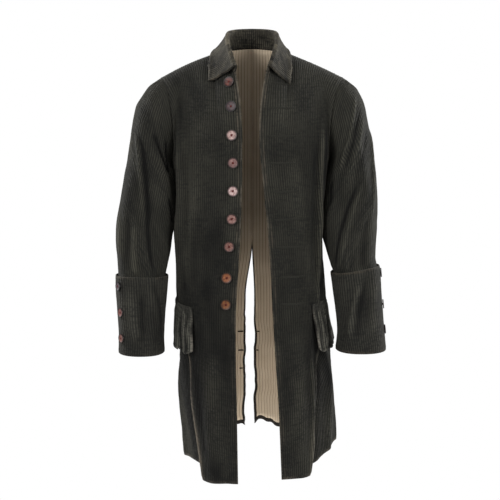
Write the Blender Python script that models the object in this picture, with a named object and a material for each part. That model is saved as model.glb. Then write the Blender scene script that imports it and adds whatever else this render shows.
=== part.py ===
"""A knee-length corduroy frock coat, worn open, as the separate pieces that are cut and sewn.

Metres, +Z up. The front faces -Y and the wearer's left is +X. The origin is the middle of the neck
opening, level with the top of the shoulders. A length down from there is called a drop.
"""

import math
from typing import NamedTuple

import bmesh
import bpy
import numpy as np
from mathutils import Vector
from mathutils.bvhtree import BVHTree

# Cloth walls
CLOTH = 0.0024
COLLAR_CLOTH = 0.0030
CUFF_CLOTH = 0.0028
FLAP_CLOTH = 0.0026
LINING_CLOTH = 0.0010
SEAM_GAP = 0.0003
SHARPEST_TURN = 1.6
LAYER_GAP = 0.0007

# Body
UNDERARM_DROP = 0.250
BODY_POWER = 0.85
ARC_SAMPLES = 33
NECK_SHARE = 0.22
SIDE_NECK = (0.070, 0.004, -0.009)
SHOULDER_BENDS = {-1: (0.148, 0.004, -0.031), 1: (0.148, 0.004, -0.036)}
SHOULDER_TIP = (0.217, 0.006, -0.072)
BACK_NECK = (0.0, 0.066, 0.004)
BACK_NECK_BEND = (0.045, 0.064, 0.004)
FRONT_NECKS = {-1: (0.0385, -0.098, -0.062), 1: (0.0315, -0.098, -0.060)}
FRONT_NECK_BEND = (0.064, -0.068, -0.042)
NECK_SPREAD = 0.085
NECK_SPREAD_WIDTH = 0.18

# Grid of a body panel
NECK_COLUMNS = 6
SHOULDER_COLUMNS = 10
YOKE_ROWS = 9
SKIRT_ROWS = 14

# Back vent and side pleats
VENT_TOP_DROP = 0.47
VENT_FULL_DROP = 0.60
BACK_ARC = 0.28
PLEAT_TOP_DROP = 0.58
PLEAT_FULL_DROP = 0.66
UNDERLAP = 0.055
UNDERLAP_RUN = 0.04
LINING_TOP_INSET = 0.12
LINING_CENTRE_INSET = 0.05
HEM_BAND = 0.016
PLEAT_DEPTH = 0.0135
PLEAT_DEPTH_AT_HEM = 0.048
PLEAT_RISE = 0.085
PLEAT_RISE_AT_HEM = 0.360
EDGE_ROLL = 0.0070
EDGE_ROLL_SHARE = 0.10

# Sleeves and cuffs
SLEEVE_CLEARANCE = 0.0013
INNER_ROUNDNESS = 0.75
CUFF_FIRST_ROW = 11
CUFF_STAND_OFF = 0.0035

# Buttons
FRONT_BUTTON_RADIUS = 0.0122
CUFF_BUTTON_RADIUS = 0.0105
BUTTON_SIDES = 14
BUTTON_SEAT = 0.0004
BUTTON_SHANK = 0.0012
BUTTON_THICKNESS = 0.0026
BUTTON_FOOT = 0.34
SEAT_RAY = 0.020
SEAT_SAMPLES = 12

RIGHT, LEFT = -1, 1
FRONT, BACK = -1, 1


class Level(NamedTuple):
    """The body at one drop: where its front edges, sides, front and back lie."""

    drop: float
    edge_right: float
    edge_left: float
    side_right: float
    side_left: float
    side_depth: float
    front: float
    back: float


LEVELS = (
    Level(0.250, 0.0230, 0.0190, 0.182, 0.178, 0.000, 0.128, 0.112),
    Level(0.330, 0.0240, 0.0270, 0.181, 0.172, 0.000, 0.124, 0.100),
    Level(0.420, 0.0270, 0.0360, 0.184, 0.165, 0.000, 0.118, 0.090),
    Level(0.500, 0.0320, 0.0420, 0.180, 0.167, 0.002, 0.124, 0.100),
    Level(0.580, 0.0370, 0.0460, 0.179, 0.171, 0.004, 0.138, 0.124),
    Level(0.680, 0.0380, 0.0520, 0.172, 0.177, 0.006, 0.145, 0.150),
    Level(0.800, 0.0360, 0.0600, 0.172, 0.190, 0.010, 0.153, 0.172),
    Level(1.000, 0.0330, 0.0690, 0.165, 0.203, 0.020, 0.162, 0.195),
)


class Hem(NamedTuple):
    """The hem's drop, from the front edge (share 0) round to the centre back (share 1)."""

    share: float
    right: float
    left: float


HEMS = (
    Hem(0.00, 0.988, 0.979),
    Hem(0.19, 0.992, 0.981),
    Hem(0.26, 0.988, 0.978),
    Hem(0.33, 0.980, 0.967),
    Hem(0.42, 0.976, 0.953),
    Hem(0.52, 0.978, 0.947),
    Hem(0.75, 0.965, 0.948),
    Hem(1.00, 0.948, 0.942),
)


class SkirtEdge(NamedTuple):
    """How far round the body a front skirt reaches at one drop, as a share of the half body."""

    drop: float
    right: float
    left: float


SKIRT_EDGES = (
    SkirtEdge(0.56, 0.500, 0.500),
    SkirtEdge(0.58, 0.500, 0.500),
    SkirtEdge(0.64, 0.410, 0.400),
    SkirtEdge(0.70, 0.310, 0.290),
    SkirtEdge(0.80, 0.280, 0.235),
    SkirtEdge(0.90, 0.235, 0.190),
    SkirtEdge(1.00, 0.192, 0.152),
)


class Fold(NamedTuple):
    """A soft ridge (height over 0) or trough in a body panel, running down the cloth."""

    side: int
    share_top: float
    share_low: float
    width: float
    height: float
    drop_top: float
    drop_low: float


FOLDS = (
    Fold(RIGHT, 0.350, 0.365, 0.030, 0.0060, 0.16, 0.60),
    Fold(RIGHT, 0.290, 0.300, 0.028, -0.0045, 0.18, 0.58),
    Fold(RIGHT, 0.150, 0.120, 0.035, 0.0035, 0.45, 1.10),
    Fold(RIGHT, 0.060, 0.050, 0.030, -0.0030, 0.55, 1.10),
    Fold(RIGHT, 0.470, 0.480, 0.022, 0.0065, 0.70, 1.10),
    Fold(RIGHT, 0.600, 0.600, 0.035, 0.0060, 0.40, 1.10),
    Fold(RIGHT, 0.690, 0.700, 0.035, -0.0060, 0.45, 1.10),
    Fold(RIGHT, 0.800, 0.810, 0.040, 0.0070, 0.50, 1.10),
    Fold(LEFT, 0.370, 0.375, 0.026, 0.0070, 0.14, 0.66),
    Fold(LEFT, 0.310, 0.310, 0.026, -0.0050, 0.16, 0.60),
    Fold(LEFT, 0.140, 0.100, 0.035, 0.0035, 0.45, 1.10),
    Fold(LEFT, 0.300, 0.290, 0.022, 0.0085, 0.66, 1.10),
    Fold(LEFT, 0.390, 0.390, 0.024, 0.0080, 0.68, 1.10),
    Fold(LEFT, 0.510, 0.500, 0.028, 0.0070, 0.62, 1.10),
    Fold(LEFT, 0.640, 0.630, 0.036, -0.0060, 0.45, 1.10),
    Fold(LEFT, 0.740, 0.740, 0.036, 0.0065, 0.42, 1.10),
    Fold(LEFT, 0.850, 0.850, 0.036, -0.0050, 0.55, 1.10),
)


class SleeveRow(NamedTuple):
    """One slanted ring of a sleeve: its outer and inner points, its centre in Y and half depth."""

    outer: float
    outer_drop: float
    inner: float
    inner_drop: float
    centre: float
    depth: float


RIGHT_SLEEVE = (
    SleeveRow(0.245, 0.095, 0.1850, 0.258, 0.010, 0.070),
    SleeveRow(0.266, 0.128, 0.1840, 0.272, 0.008, 0.069),
    SleeveRow(0.277, 0.172, 0.1780, 0.290, 0.004, 0.068),
    SleeveRow(0.284, 0.215, 0.1740, 0.312, 0.001, 0.066),
    SleeveRow(0.293, 0.262, 0.1730, 0.338, -0.002, 0.065),
    SleeveRow(0.302, 0.308, 0.1740, 0.367, -0.005, 0.063),
    SleeveRow(0.310, 0.355, 0.1790, 0.398, -0.009, 0.061),
    SleeveRow(0.317, 0.405, 0.1870, 0.432, -0.015, 0.059),
    SleeveRow(0.318, 0.457, 0.1920, 0.470, -0.023, 0.058),
    SleeveRow(0.315, 0.500, 0.1990, 0.504, -0.031, 0.056),
    SleeveRow(0.312, 0.524, 0.2030, 0.526, -0.037, 0.055),
    SleeveRow(0.310, 0.570, 0.2060, 0.570, -0.044, 0.054),
    SleeveRow(0.308, 0.618, 0.2090, 0.618, -0.051, 0.053),
    SleeveRow(0.307, 0.665, 0.2100, 0.665, -0.057, 0.052),
    SleeveRow(0.308, 0.702, 0.2080, 0.702, -0.062, 0.052),
)
LEFT_SLEEVE = (
    SleeveRow(0.244, 0.095, 0.1810, 0.258, 0.010, 0.070),
    SleeveRow(0.259, 0.126, 0.1790, 0.272, 0.008, 0.069),
    SleeveRow(0.269, 0.170, 0.1740, 0.290, 0.004, 0.068),
    SleeveRow(0.279, 0.215, 0.1680, 0.312, 0.001, 0.066),
    SleeveRow(0.286, 0.262, 0.1640, 0.338, -0.002, 0.065),
    SleeveRow(0.291, 0.308, 0.1610, 0.367, -0.005, 0.063),
    SleeveRow(0.293, 0.355, 0.1590, 0.398, -0.009, 0.061),
    SleeveRow(0.292, 0.405, 0.1640, 0.432, -0.016, 0.059),
    SleeveRow(0.289, 0.452, 0.1740, 0.466, -0.025, 0.058),
    SleeveRow(0.288, 0.483, 0.1840, 0.500, -0.033, 0.056),
    SleeveRow(0.290, 0.502, 0.1900, 0.518, -0.038, 0.055),
    SleeveRow(0.294, 0.549, 0.1960, 0.563, -0.046, 0.054),
    SleeveRow(0.298, 0.598, 0.2010, 0.609, -0.054, 0.053),
    SleeveRow(0.303, 0.648, 0.2030, 0.656, -0.061, 0.052),
    SleeveRow(0.308, 0.695, 0.1980, 0.695, -0.066, 0.053),
)
SLEEVES = {RIGHT: RIGHT_SLEEVE, LEFT: LEFT_SLEEVE}


class Crease(NamedTuple):
    """A soft ridge or trough in a sleeve, from one row and turn to another (1 turn is all round)."""

    side: int
    row_top: float
    turn_top: float
    row_low: float
    turn_low: float
    width: float
    height: float


CREASES = (
    Crease(RIGHT, 2.0, 0.20, 9.0, 0.26, 0.035, -0.0060),
    Crease(RIGHT, 5.0, 0.13, 15.0, 0.14, 0.050, 0.0045),
    Crease(RIGHT, 8.5, 0.24, 15.0, 0.30, 0.035, -0.0050),
    Crease(RIGHT, 2.0, 0.30, 5.0, 0.42, 0.035, -0.0055),
    Crease(RIGHT, 4.0, 0.72, 12.0, 0.76, 0.045, -0.0055),
    Crease(RIGHT, 7.0, 0.62, 10.0, 0.88, 0.040, 0.0040),
    Crease(LEFT, 2.0, 0.22, 7.0, 0.15, 0.040, 0.0055),
    Crease(LEFT, 3.0, 0.32, 9.0, 0.27, 0.035, -0.0055),
    Crease(LEFT, 7.0, 0.20, 15.0, 0.20, 0.045, -0.0045),
    Crease(LEFT, 4.0, 0.70, 12.0, 0.74, 0.045, -0.0055),
    Crease(LEFT, 7.0, 0.88, 10.0, 0.64, 0.040, 0.0040),
)


class CollarStation(NamedTuple):
    """Half the collar, from the centre back (place 0) to its front end (place 1).

    fold is the top of the turned-down edge. The free edge lies over a panel, at its place across
    (0 at the centre line, 1 at the armhole) and down (0 at the shoulder, 1 at the underarm).
    """

    place: float
    fold_across: float
    fold_depth: float
    fold_height: float
    panel: int
    edge_across: float
    edge_down: float


COLLAR_STATIONS = (
    CollarStation(0.00, 0.000, 0.050, 0.042, BACK, 0.000, 0.130),
    CollarStation(0.16, 0.025, 0.046, 0.041, BACK, 0.130, 0.130),
    CollarStation(0.32, 0.044, 0.033, 0.038, BACK, 0.250, 0.105),
    CollarStation(0.50, 0.056, 0.006, 0.030, FRONT, 0.305, 0.040),
    CollarStation(0.66, 0.056, -0.034, 0.009, FRONT, 0.295, 0.180),
    CollarStation(0.83, 0.049, -0.073, -0.020, FRONT, 0.298, 0.300),
    CollarStation(1.00, 0.039, -0.102, -0.050, FRONT, 0.290, 0.420),
)
# The left end of the collar lies nearer the middle and lower than the right end
COLLAR_LEFT_SHIFT = (-0.045, 0.030)
COLLAR_FOLD_RADIUS = 0.0042
COLLAR_EDGE_LIFT = 0.0030
COLLAR_FALL_BEND = -0.0035
COLLAR_COLUMNS = 2 * NECK_COLUMNS - 1
CROWN_ROW = 4


class Flap(NamedTuple):
    """A pocket flap: its reach round the body and down it, for one side."""

    side: int
    share_front: float
    share_rear: float
    low_front: float
    drop_top_front: float
    drop_top_rear: float
    drop_low: float


FLAPS = (
    Flap(RIGHT, 0.240, 0.560, 0.225, 0.592, 0.584, 0.700),
    Flap(LEFT, 0.240, 0.520, 0.240, 0.586, 0.577, 0.697),
)
FLAP_COLUMNS = 13
FLAP_ROWS = 7
FLAP_SCALLOPS = 3
FLAP_SCALLOP_DEPTH = 0.010
FLAP_FLARE = 0.0075
FLAP_WAVES = 4
FLAP_WAVE_DEPTH = 0.0028

# Drop and distance from the centre line of each front button
FRONT_BUTTONS = (
    (0.083, 0.0510),
    (0.137, 0.0470),
    (0.200, 0.0450),
    (0.261, 0.0430),
    (0.325, 0.0430),
    (0.388, 0.0450),
    (0.450, 0.0520),
    (0.519, 0.0570),
    (0.579, 0.0590),
)
# Row of the sleeve and turn round the cuff of each cuff button
CUFF_BUTTONS = {
    RIGHT: ((11.50, 0.115), (12.72, 0.125), (13.98, 0.115)),
    LEFT: ((11.40, 0.020), (12.85, 0.020), (14.00, 0.025)),
}

FINISHES = {
    "corduroy": ((0.0245, 0.0240, 0.0215), 0.92),
    "cuff_corduroy": ((0.0270, 0.0265, 0.0240), 0.92),
    "collar_corduroy": ((0.0480, 0.0450, 0.0400), 0.90),
    "striped_lining": ((0.4200, 0.3400, 0.2600), 0.80),
    "shell_button": ((0.2200, 0.1300, 0.1150), 0.35),
    "cuff_button": ((0.0850, 0.0450, 0.0420), 0.40),
}


def ease(t):
    """A smooth step from 0 to 1."""
    t = np.clip(t, 0.0, 1.0)
    return t * t * (3 - 2 * t)


def unit(v):
    """Vectors scaled to a length of 1."""
    return v / np.maximum(np.linalg.norm(v, axis=-1, keepdims=True), 1e-12)


def read(table, key, column, at):
    """A column of a table at any value of its key, on a smooth curve through the rows."""
    knots = np.array([getattr(row, key) for row in table], float)
    values = np.array([getattr(row, column) for row in table], float)
    slopes = np.gradient(values, knots)
    at = np.asarray(at, float)
    i = np.clip(np.searchsorted(knots, at) - 1, 0, len(knots) - 2)
    span = knots[i + 1] - knots[i]
    t = np.clip((at - knots[i]) / span, -0.5, 1.5)
    return (
        values[i] * (1 + 2 * t) * (1 - t) ** 2
        + values[i + 1] * t * t * (3 - 2 * t)
        + slopes[i] * span * t * (1 - t) ** 2
        + slopes[i + 1] * span * t * t * (t - 1)
    )


def of_side(side):
    """The name of a side's columns in the tables."""
    return "right" if side == RIGHT else "left"


def quarter(share, start, power_x, half, depth):
    """Places on a rounded quarter, at a share of its length from an angle to the side."""
    steps = np.linspace(0, 1, ARC_SAMPLES)
    angles = start[..., None] + (math.pi / 2 - start[..., None]) * steps
    x = half[..., None] * np.sin(angles) ** power_x
    y = depth[..., None] * np.cos(angles).clip(0) ** power_x
    lengths = np.cumsum(np.hypot(np.diff(x, axis=-1), np.diff(y, axis=-1)), axis=-1)
    lengths = np.concatenate([np.zeros_like(lengths[..., :1]), lengths], axis=-1)
    wanted = np.clip(share, 0, 1)[..., None] * lengths[..., -1:]
    i = np.clip((lengths < wanted).sum(-1, keepdims=True) - 1, 0, ARC_SAMPLES - 2)
    low = np.take_along_axis(lengths, i, -1)
    high = np.take_along_axis(lengths, i + 1, -1)
    t = (wanted - low) / np.maximum(high - low, 1e-12)
    angle = np.take_along_axis(angles, i, -1) * (1 - t) + np.take_along_axis(angles, i + 1, -1) * t
    angle = angle[..., 0]
    return half * np.sin(angle) ** power_x, depth * np.cos(angle).clip(0) ** power_x


def body(side, share, drop):
    """Points of the plain body: share 0 at the front edge, 0.5 at the side, 1 at the centre back."""
    share, drop = np.broadcast_arrays(np.asarray(share, float), np.asarray(drop, float))
    name = of_side(side)
    edge = read(LEVELS, "drop", "edge_" + name, drop)
    half = read(LEVELS, "drop", "side_" + name, drop)
    middle = read(LEVELS, "drop", "side_depth", drop)
    front = read(LEVELS, "drop", "front", drop) + middle
    back = read(LEVELS, "drop", "back", drop) - middle
    start = np.arcsin((edge / half) ** (1 / BODY_POWER))
    front_x, front_y = quarter(2 * share, start, BODY_POWER, half, front)
    back_x, back_y = quarter(2 * (1 - share), np.zeros_like(start), BODY_POWER, half, back)
    is_front = share <= 0.5
    x = np.where(is_front, front_x, back_x)
    y = middle + np.where(is_front, -front_y, back_y)
    return np.stack([side * x, y, -drop], axis=-1)


def curve(points, t):
    """A Bezier curve through any number of control points."""
    points = [np.asarray(p, float) for p in points]
    t = np.asarray(t, float)[..., None]
    while len(points) > 1:
        points = [a * (1 - t) + b * t for a, b in zip(points, points[1:])]
    return points[0]


def top_edge(side, panel, across):
    """The neckline and shoulder seam of a panel, from its centre (0) to the armhole (1)."""
    mirror = np.array([side, 1, 1])
    if panel == FRONT:
        neck = (FRONT_NECKS[side], FRONT_NECK_BEND, SIDE_NECK)
    else:
        neck = (BACK_NECK, BACK_NECK_BEND, SIDE_NECK)
    round_neck = curve(neck, np.clip(across / NECK_SHARE, 0, 1))
    along = np.clip((across - NECK_SHARE) / (1 - NECK_SHARE), 0, 1.05)
    shoulder = curve((SIDE_NECK, SHOULDER_BENDS[side], SHOULDER_TIP), along)
    return np.where((across < NECK_SHARE)[..., None], round_neck, shoulder) * mirror


def yoke(side, panel, across, down):
    """Points of a panel above the underarm: down 0 at its top edge and 1 at the underarm."""
    mirror = np.array([side, 1, 1])
    share = across / 2 if panel == FRONT else 1 - across / 2
    top = top_edge(side, panel, across)
    low = body(side, share, UNDERARM_DROP)
    slope = body(side, share, UNDERARM_DROP + 0.002) - body(side, share, UNDERARM_DROP - 0.002)
    at_neck = ease(1 - across / NECK_SHARE)[..., None]
    outward = ease((across - 0.45) / 0.55)[..., None]
    seam = unit(np.array(SIDE_NECK) - np.array(SHOULDER_TIP))
    level = np.array([0, panel * 0.150, 0]) * (1 - outward) + outward * (
        np.array([0, panel * (0.200 if panel == FRONT else 0.270), 0]) + 0.105 * seam
    )
    if panel == FRONT:
        falling = np.array([-0.050, -0.050, -0.120])
    else:
        falling = np.array([0.0, 0.060, -0.130])
    spread = np.exp(-(((across - NECK_SHARE) / NECK_SPREAD_WIDTH) ** 2))[..., None]
    sideways = spread * np.array([NECK_SPREAD if panel == FRONT else NECK_SPREAD / 2, 0, 0])
    leave = (level * (1 - at_neck) + falling * at_neck + sideways) * mirror
    loop = np.array([0.020, -panel * (0.190 if panel == FRONT else 0.130), -0.070]) * mirror
    meet = ease((across - 0.74) / 0.26)[..., None]
    arrive = slope / 0.004 * 0.250 * (1 - meet) + loop * meet
    t = down[..., None]
    return (
        top * (1 + 2 * t) * (1 - t) ** 2
        + low * t * t * (3 - 2 * t)
        + leave * t * (1 - t) ** 2
        + arrive * t * t * (t - 1)
    )


def hem_drop(side, share):
    """The drop of the hem at a share of the way round."""
    return read(HEMS, "share", of_side(side), np.clip(share, 0, 1))


def skirt_reach(side, drop):
    """How far round the front skirt reaches."""
    drop = np.clip(drop, SKIRT_EDGES[0].drop, SKIRT_EDGES[-1].drop)
    return np.minimum(read(SKIRT_EDGES, "drop", of_side(side), drop), 0.5)


def vent_width(side, drop):
    """Half the open back vent: each side's distance from the centre line."""
    full = 0.018 if side == RIGHT else 0.0055
    return full * ease((drop - VENT_TOP_DROP) / (VENT_FULL_DROP - VENT_TOP_DROP))


def pleated(drop):
    """0 above the side pleats and 1 where they are at full depth."""
    return ease((drop - PLEAT_TOP_DROP) / (PLEAT_FULL_DROP - PLEAT_TOP_DROP))


def skirt_share(side, panel, across, drop):
    """The share round the body of a place across a panel, below the underarm."""
    reach = skirt_reach(side, drop)
    if panel == FRONT:
        return across * reach
    first = reach - UNDERLAP * ease((drop - PLEAT_FULL_DROP) / UNDERLAP_RUN)
    last = 1 - vent_width(side, drop) / BACK_ARC / 2
    return last - (last - first) * across


def fold_height(side, share, drop):
    """How far the folds lift the cloth."""
    total = np.zeros(np.broadcast(share, drop).shape)
    for fold in FOLDS:
        if fold.side != side:
            continue
        t = np.clip((drop - fold.drop_top) / (fold.drop_low - fold.drop_top), 0, 1)
        centre = fold.share_top + (fold.share_low - fold.share_top) * t
        fade = ease((drop - fold.drop_top) / 0.10) * ease((fold.drop_low - drop) / 0.10)
        total += fold.height * fade * np.exp(-(((share - centre) / fold.width) ** 2))
    return total


def plain(side, panel, across, down):
    """A panel's points before its folds: down 0 to 1 is the yoke, 1 to 2 runs on to the hem."""
    across, down = np.broadcast_arrays(np.asarray(across, float), np.asarray(down, float))
    upper = yoke(side, panel, across, np.clip(down, -0.1, 1))
    rough = across / 2 if panel == FRONT else 1 - across / 2
    drop = UNDERARM_DROP + (hem_drop(side, rough) - UNDERARM_DROP) * (down - 1)
    share = skirt_share(side, panel, across, drop)
    drop = UNDERARM_DROP + (hem_drop(side, share) - UNDERARM_DROP) * (down - 1)
    share = skirt_share(side, panel, across, drop)
    lower = body(side, share, drop)
    return np.where((down < 1)[..., None], upper, lower), share, drop


def normals_of(points, side, panel, across, down, step=0.004):
    """Outward directions of a surface, from its points a small step away each way."""
    one_way = points(side, panel, across + step, down) - points(side, panel, across - step, down)
    other = points(side, panel, across, down + step) - points(side, panel, across, down - step)
    return unit(np.cross(one_way, other)) * (side * panel)


def cloth(side, panel, across, down):
    """A panel's outer points, with its folds, rolled edge and pleat."""
    base, share, drop = plain(side, panel, across, down)
    yoke_share = across / 2 if panel == FRONT else 1 - across / 2
    share = np.where(down < 1, yoke_share, share)
    drop = np.where(down < 1, -base[..., 2], drop)
    lift = fold_height(side, share, drop)
    depth = pleated(drop)
    if panel == FRONT:
        roll = np.clip((across - 1 + EDGE_ROLL_SHARE) / EDGE_ROLL_SHARE, 0, 1.1)
        lift = lift - EDGE_ROLL * depth * roll**2
    else:
        low = ease((drop - PLEAT_FULL_DROP) / (1 - PLEAT_FULL_DROP))
        rise = PLEAT_RISE + (PLEAT_RISE_AT_HEM - PLEAT_RISE) * low
        sunk = (PLEAT_DEPTH + (PLEAT_DEPTH_AT_HEM - PLEAT_DEPTH) * low) * depth
        behind = ease((share - skirt_reach(side, drop)) / rise)
        lift = np.where(down < 1, lift, lift * behind**depth - sunk * (1 - behind))
    outward = normals_of(lambda *a: plain(*a)[0], side, panel, across, down)
    return base + outward * lift[..., None]


def panel_grid(side, panel):
    """The places across and down of a panel's rows and columns."""
    across = np.concatenate(
        [
            np.linspace(0, NECK_SHARE, NECK_COLUMNS),
            np.linspace(NECK_SHARE, 1, SHOULDER_COLUMNS + 1)[1:],
        ]
    )
    skirt = np.linspace(1, 2 - HEM_BAND, SKIRT_ROWS + 1)[1:]
    down = np.concatenate([np.linspace(0, 1, YOKE_ROWS + 1), skirt, [2]])
    return np.meshgrid(across, down)


def drawn_in(points, gap):
    """A grid with each of its edges drawn in by half a seam's gap."""
    points = points.copy()
    for first, second in (((0,), (1,)), ((-1,), (-2,))):
        points[first] += unit(points[second] - points[first]) * gap / 2
        points[:, first[0]] += unit(points[:, second[0]] - points[:, first[0]]) * gap / 2
    return points


def seam_walls(on, onward, outward, other_way):
    """The wall directions of two pieces that meet at a seam.

    on holds the seam's points, onward points on from the first piece across the seam, outward is
    the first piece's outward direction and other_way runs into the second piece. Returns the turn
    at the seam, the first piece's inward direction and the direction in which the seam parts.
    """
    onward = unit(onward)
    turn = np.arctan2((other_way * outward).sum(-1), (other_way * onward).sum(-1))
    turn = np.where(turn < -SHARPEST_TURN, turn + 2 * math.pi, turn)
    half = turn[..., None] / 2
    parting = onward * np.cos(half) + outward * np.sin(half)
    mitred = -outward * np.cos(half) + onward * np.sin(half)
    return turn, np.where(turn[..., None] < 0, mitred, -outward), unit(parting)


def wall(name, outer, inner, finish, closed=False):
    """A closed wall of cloth between two grids of points, as one object."""
    mesh = bmesh.new()
    rows, columns = outer.shape[:2]
    skins = [[[mesh.verts.new(p) for p in row] for row in skin] for skin in (outer, inner)]
    steps = columns if closed else columns - 1
    for skin, way in zip(skins, (1, -1)):
        for r in range(rows - 1):
            for c in range(steps):
                d = (c + 1) % columns
                a, b, e, f = skin[r][c], skin[r + 1][c], skin[r + 1][d], skin[r][d]
                mesh.faces.new((a, b, e)[::way])
                mesh.faces.new((a, e, f)[::way])
    rims = [[(r, c) for c in range(columns)] for r in (0, rows - 1)]
    if not closed:
        rims += [[(r, c) for r in range(rows)] for c in (0, columns - 1)]
    for rim in rims:
        pairs = list(zip(rim, rim[1:] + rim[:1] if closed else rim[1:]))
        for (r, c), (s, d) in pairs:
            mesh.faces.new((skins[0][r][c], skins[0][s][d], skins[1][s][d], skins[1][r][c]))
    bmesh.ops.recalc_face_normals(mesh, faces=mesh.faces[:])
    return finished(name, mesh, finish)


def finished(name, mesh, finish):
    """Turns a bmesh into an object with its finish."""
    data = bpy.data.meshes.new(name)
    mesh.to_mesh(data)
    mesh.free()
    data.shade_smooth()
    data.set_sharp_from_angle(angle=math.radians(50))
    piece = bpy.data.objects.new(name, data)
    bpy.context.scene.collection.objects.link(piece)
    data.materials.append(material(name, finish))
    return piece


def material(name, finish):
    """A piece's own material, in one of the coat's finishes."""
    colour, roughness = FINISHES[finish]
    made = bpy.data.materials.new(name)
    made.use_nodes = True
    shader = made.node_tree.nodes["Principled BSDF"]
    shader.inputs["Base Color"].default_value = (*colour, 1)
    shader.inputs["Roughness"].default_value = roughness
    shader.inputs["Metallic"].default_value = 0.0
    return made


def armhole(side, turns):
    """The armhole seam: turn 0 at the shoulder, forward to 0.5 at the underarm and up the back."""
    turns = np.asarray(turns, float) % 1.0
    forward = cloth(side, FRONT, np.ones_like(turns), np.clip(2 * turns, 0, 1))
    behind = cloth(side, BACK, np.ones_like(turns), np.clip(2 - 2 * turns, 0, 1))
    return np.where((turns <= 0.5)[..., None], forward, behind)


def armhole_outward(side, turns):
    """The panels' outward directions along the armhole seam."""
    turns = np.asarray(turns, float) % 1.0
    one = np.ones_like(turns)
    forward = normals_of(cloth, side, FRONT, one, np.clip(2 * turns, 0, 0.999))
    behind = normals_of(cloth, side, BACK, one, np.clip(2 - 2 * turns, 0, 0.999))
    return np.where((turns <= 0.5)[..., None], forward, behind)


def armhole_onward(side, turns):
    """The way that the panels run on across the armhole seam."""
    turns = np.asarray(turns, float) % 1.0
    ways = []
    for panel, down in ((FRONT, 2 * turns), (BACK, 2 - 2 * turns)):
        down = np.clip(down, 0, 1)
        inside = cloth(side, panel, np.full_like(turns, 0.97), down)
        ways.append(unit(cloth(side, panel, np.ones_like(turns), down) - inside))
    onward = np.where((turns <= 0.5)[..., None], *ways)
    low = ease(1 - abs(turns - 0.5) / 0.12)[..., None]
    onward = unit(onward * (1 - low) + np.array([0, 0, 1.0]) * low)
    outward = armhole_outward(side, turns)
    return unit(onward - outward * (onward * outward).sum(-1, keepdims=True))


def sleeve_rings(side, turns, rows):
    """Outer points of a sleeve at whole or part rows, row 0 being the armhole seam."""
    table = SLEEVES[side]
    seam = armhole(side, turns)
    keys = [SleeveKey(k + 1, *row) for k, row in enumerate(table)]
    angle = 2 * math.pi * turns
    rings = []
    for row in rows:
        at = max(row, 1)
        value = {c: read(keys, "row", c, at) for c in SleeveRow._fields}
        outer = np.array([value["outer"], value["centre"], -value["outer_drop"]])
        inner = np.array([value["inner"], value["centre"], -value["inner_drop"]])
        middle, reach = (outer + inner) / 2, (outer - inner) / 2
        across = np.cos(angle)
        across = np.where(across < 0, -(abs(across) ** INNER_ROUNDNESS), across)
        ring = middle + across[:, None] * reach
        ring[:, 1] -= value["depth"] * np.sin(angle)
        ring = ring * np.array([side, 1, 1])
        spread = unit(ring - middle * np.array([side, 1, 1]))
        ring = ring + spread * crease_height(side, at, turns)[:, None]
        ring = clear_of_body(side, ring)
        rings.append(seam * (1 - min(row, 1)) + ring * min(row, 1))
    return np.array(rings)


class SleeveKey(NamedTuple):
    """A sleeve row with its place down the sleeve."""

    row: float
    outer: float
    outer_drop: float
    inner: float
    inner_drop: float
    centre: float
    depth: float


def crease_height(side, row, turns):
    """How far the creases lift a sleeve's cloth."""
    total = np.zeros_like(turns)
    for crease in CREASES:
        if crease.side != side:
            continue
        t = (row - crease.row_top) / (crease.row_low - crease.row_top)
        fade = ease(t / 0.25) * ease((1 - t) / 0.25)
        centre = crease.turn_top + (crease.turn_low - crease.turn_top) * np.clip(t, 0, 1)
        away = (turns - centre + 0.5) % 1.0 - 0.5
        total += crease.height * fade * np.exp(-((away / crease.width) ** 2))
    return total


def clear_of_body(side, points):
    """Moves a sleeve's points out to where the body's side just leaves them room."""
    name = of_side(side)
    drop = np.maximum(-points[:, 2], UNDERARM_DROP)
    half = read(LEVELS, "drop", "side_" + name, drop)
    middle = read(LEVELS, "drop", "side_depth", drop)
    y = points[:, 1] - middle
    reach = np.where(
        y < 0,
        read(LEVELS, "drop", "front", drop) + middle,
        read(LEVELS, "drop", "back", drop) - middle,
    )
    power = 2 / BODY_POWER
    inside = (1 - np.clip(abs(y) / reach, 0, 1) ** power) ** (1 / power)
    least = half * inside + SLEEVE_CLEARANCE
    below = -points[:, 2] > UNDERARM_DROP
    x = np.where(below, np.maximum(points[:, 0] * side, least), points[:, 0] * side)
    return np.stack([x * side, points[:, 1], points[:, 2]], axis=-1)


def tube_outward(rings):
    """Outward directions of a tube's points, from their neighbours."""
    around = np.roll(rings, -1, axis=1) - np.roll(rings, 1, axis=1)
    along = np.gradient(rings, axis=0)
    outward = unit(np.cross(around, along))
    away = rings - rings.mean(axis=1, keepdims=True)
    return outward * np.sign((outward * away).sum(-1, keepdims=True).sum(1, keepdims=True))


def make_body():
    """The two fronts and two backs."""
    for side in (RIGHT, LEFT):
        for panel in (FRONT, BACK):
            across, down = panel_grid(side, panel)
            outer = cloth(side, panel, across, down)
            inward = -normals_of(cloth, side, panel, across, down)
            on_shoulder = across[0] >= NECK_SHARE
            inward[0, on_shoulder] = shoulder_inward(side, across[0, on_shoulder])
            on_armhole = down[:, -1] <= 1
            turns = down[on_armhole, -1] / 2
            if panel == BACK:
                turns = 1 - turns
            inward[on_armhole, -1] = armhole_walls(side, turns)[0]
            name = ("front_" if panel == FRONT else "back_") + of_side(side)
            edged = drawn_in(outer, SEAM_GAP)
            wall(name, edged, edged + inward * CLOTH, "corduroy")


def shoulder_inward(side, across):
    """The inward direction that front and back share along the shoulder seam."""
    top = np.zeros_like(across)
    both = (normals_of(cloth, side, panel, across, top) for panel in (FRONT, BACK))
    return -unit(sum(both))


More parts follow.
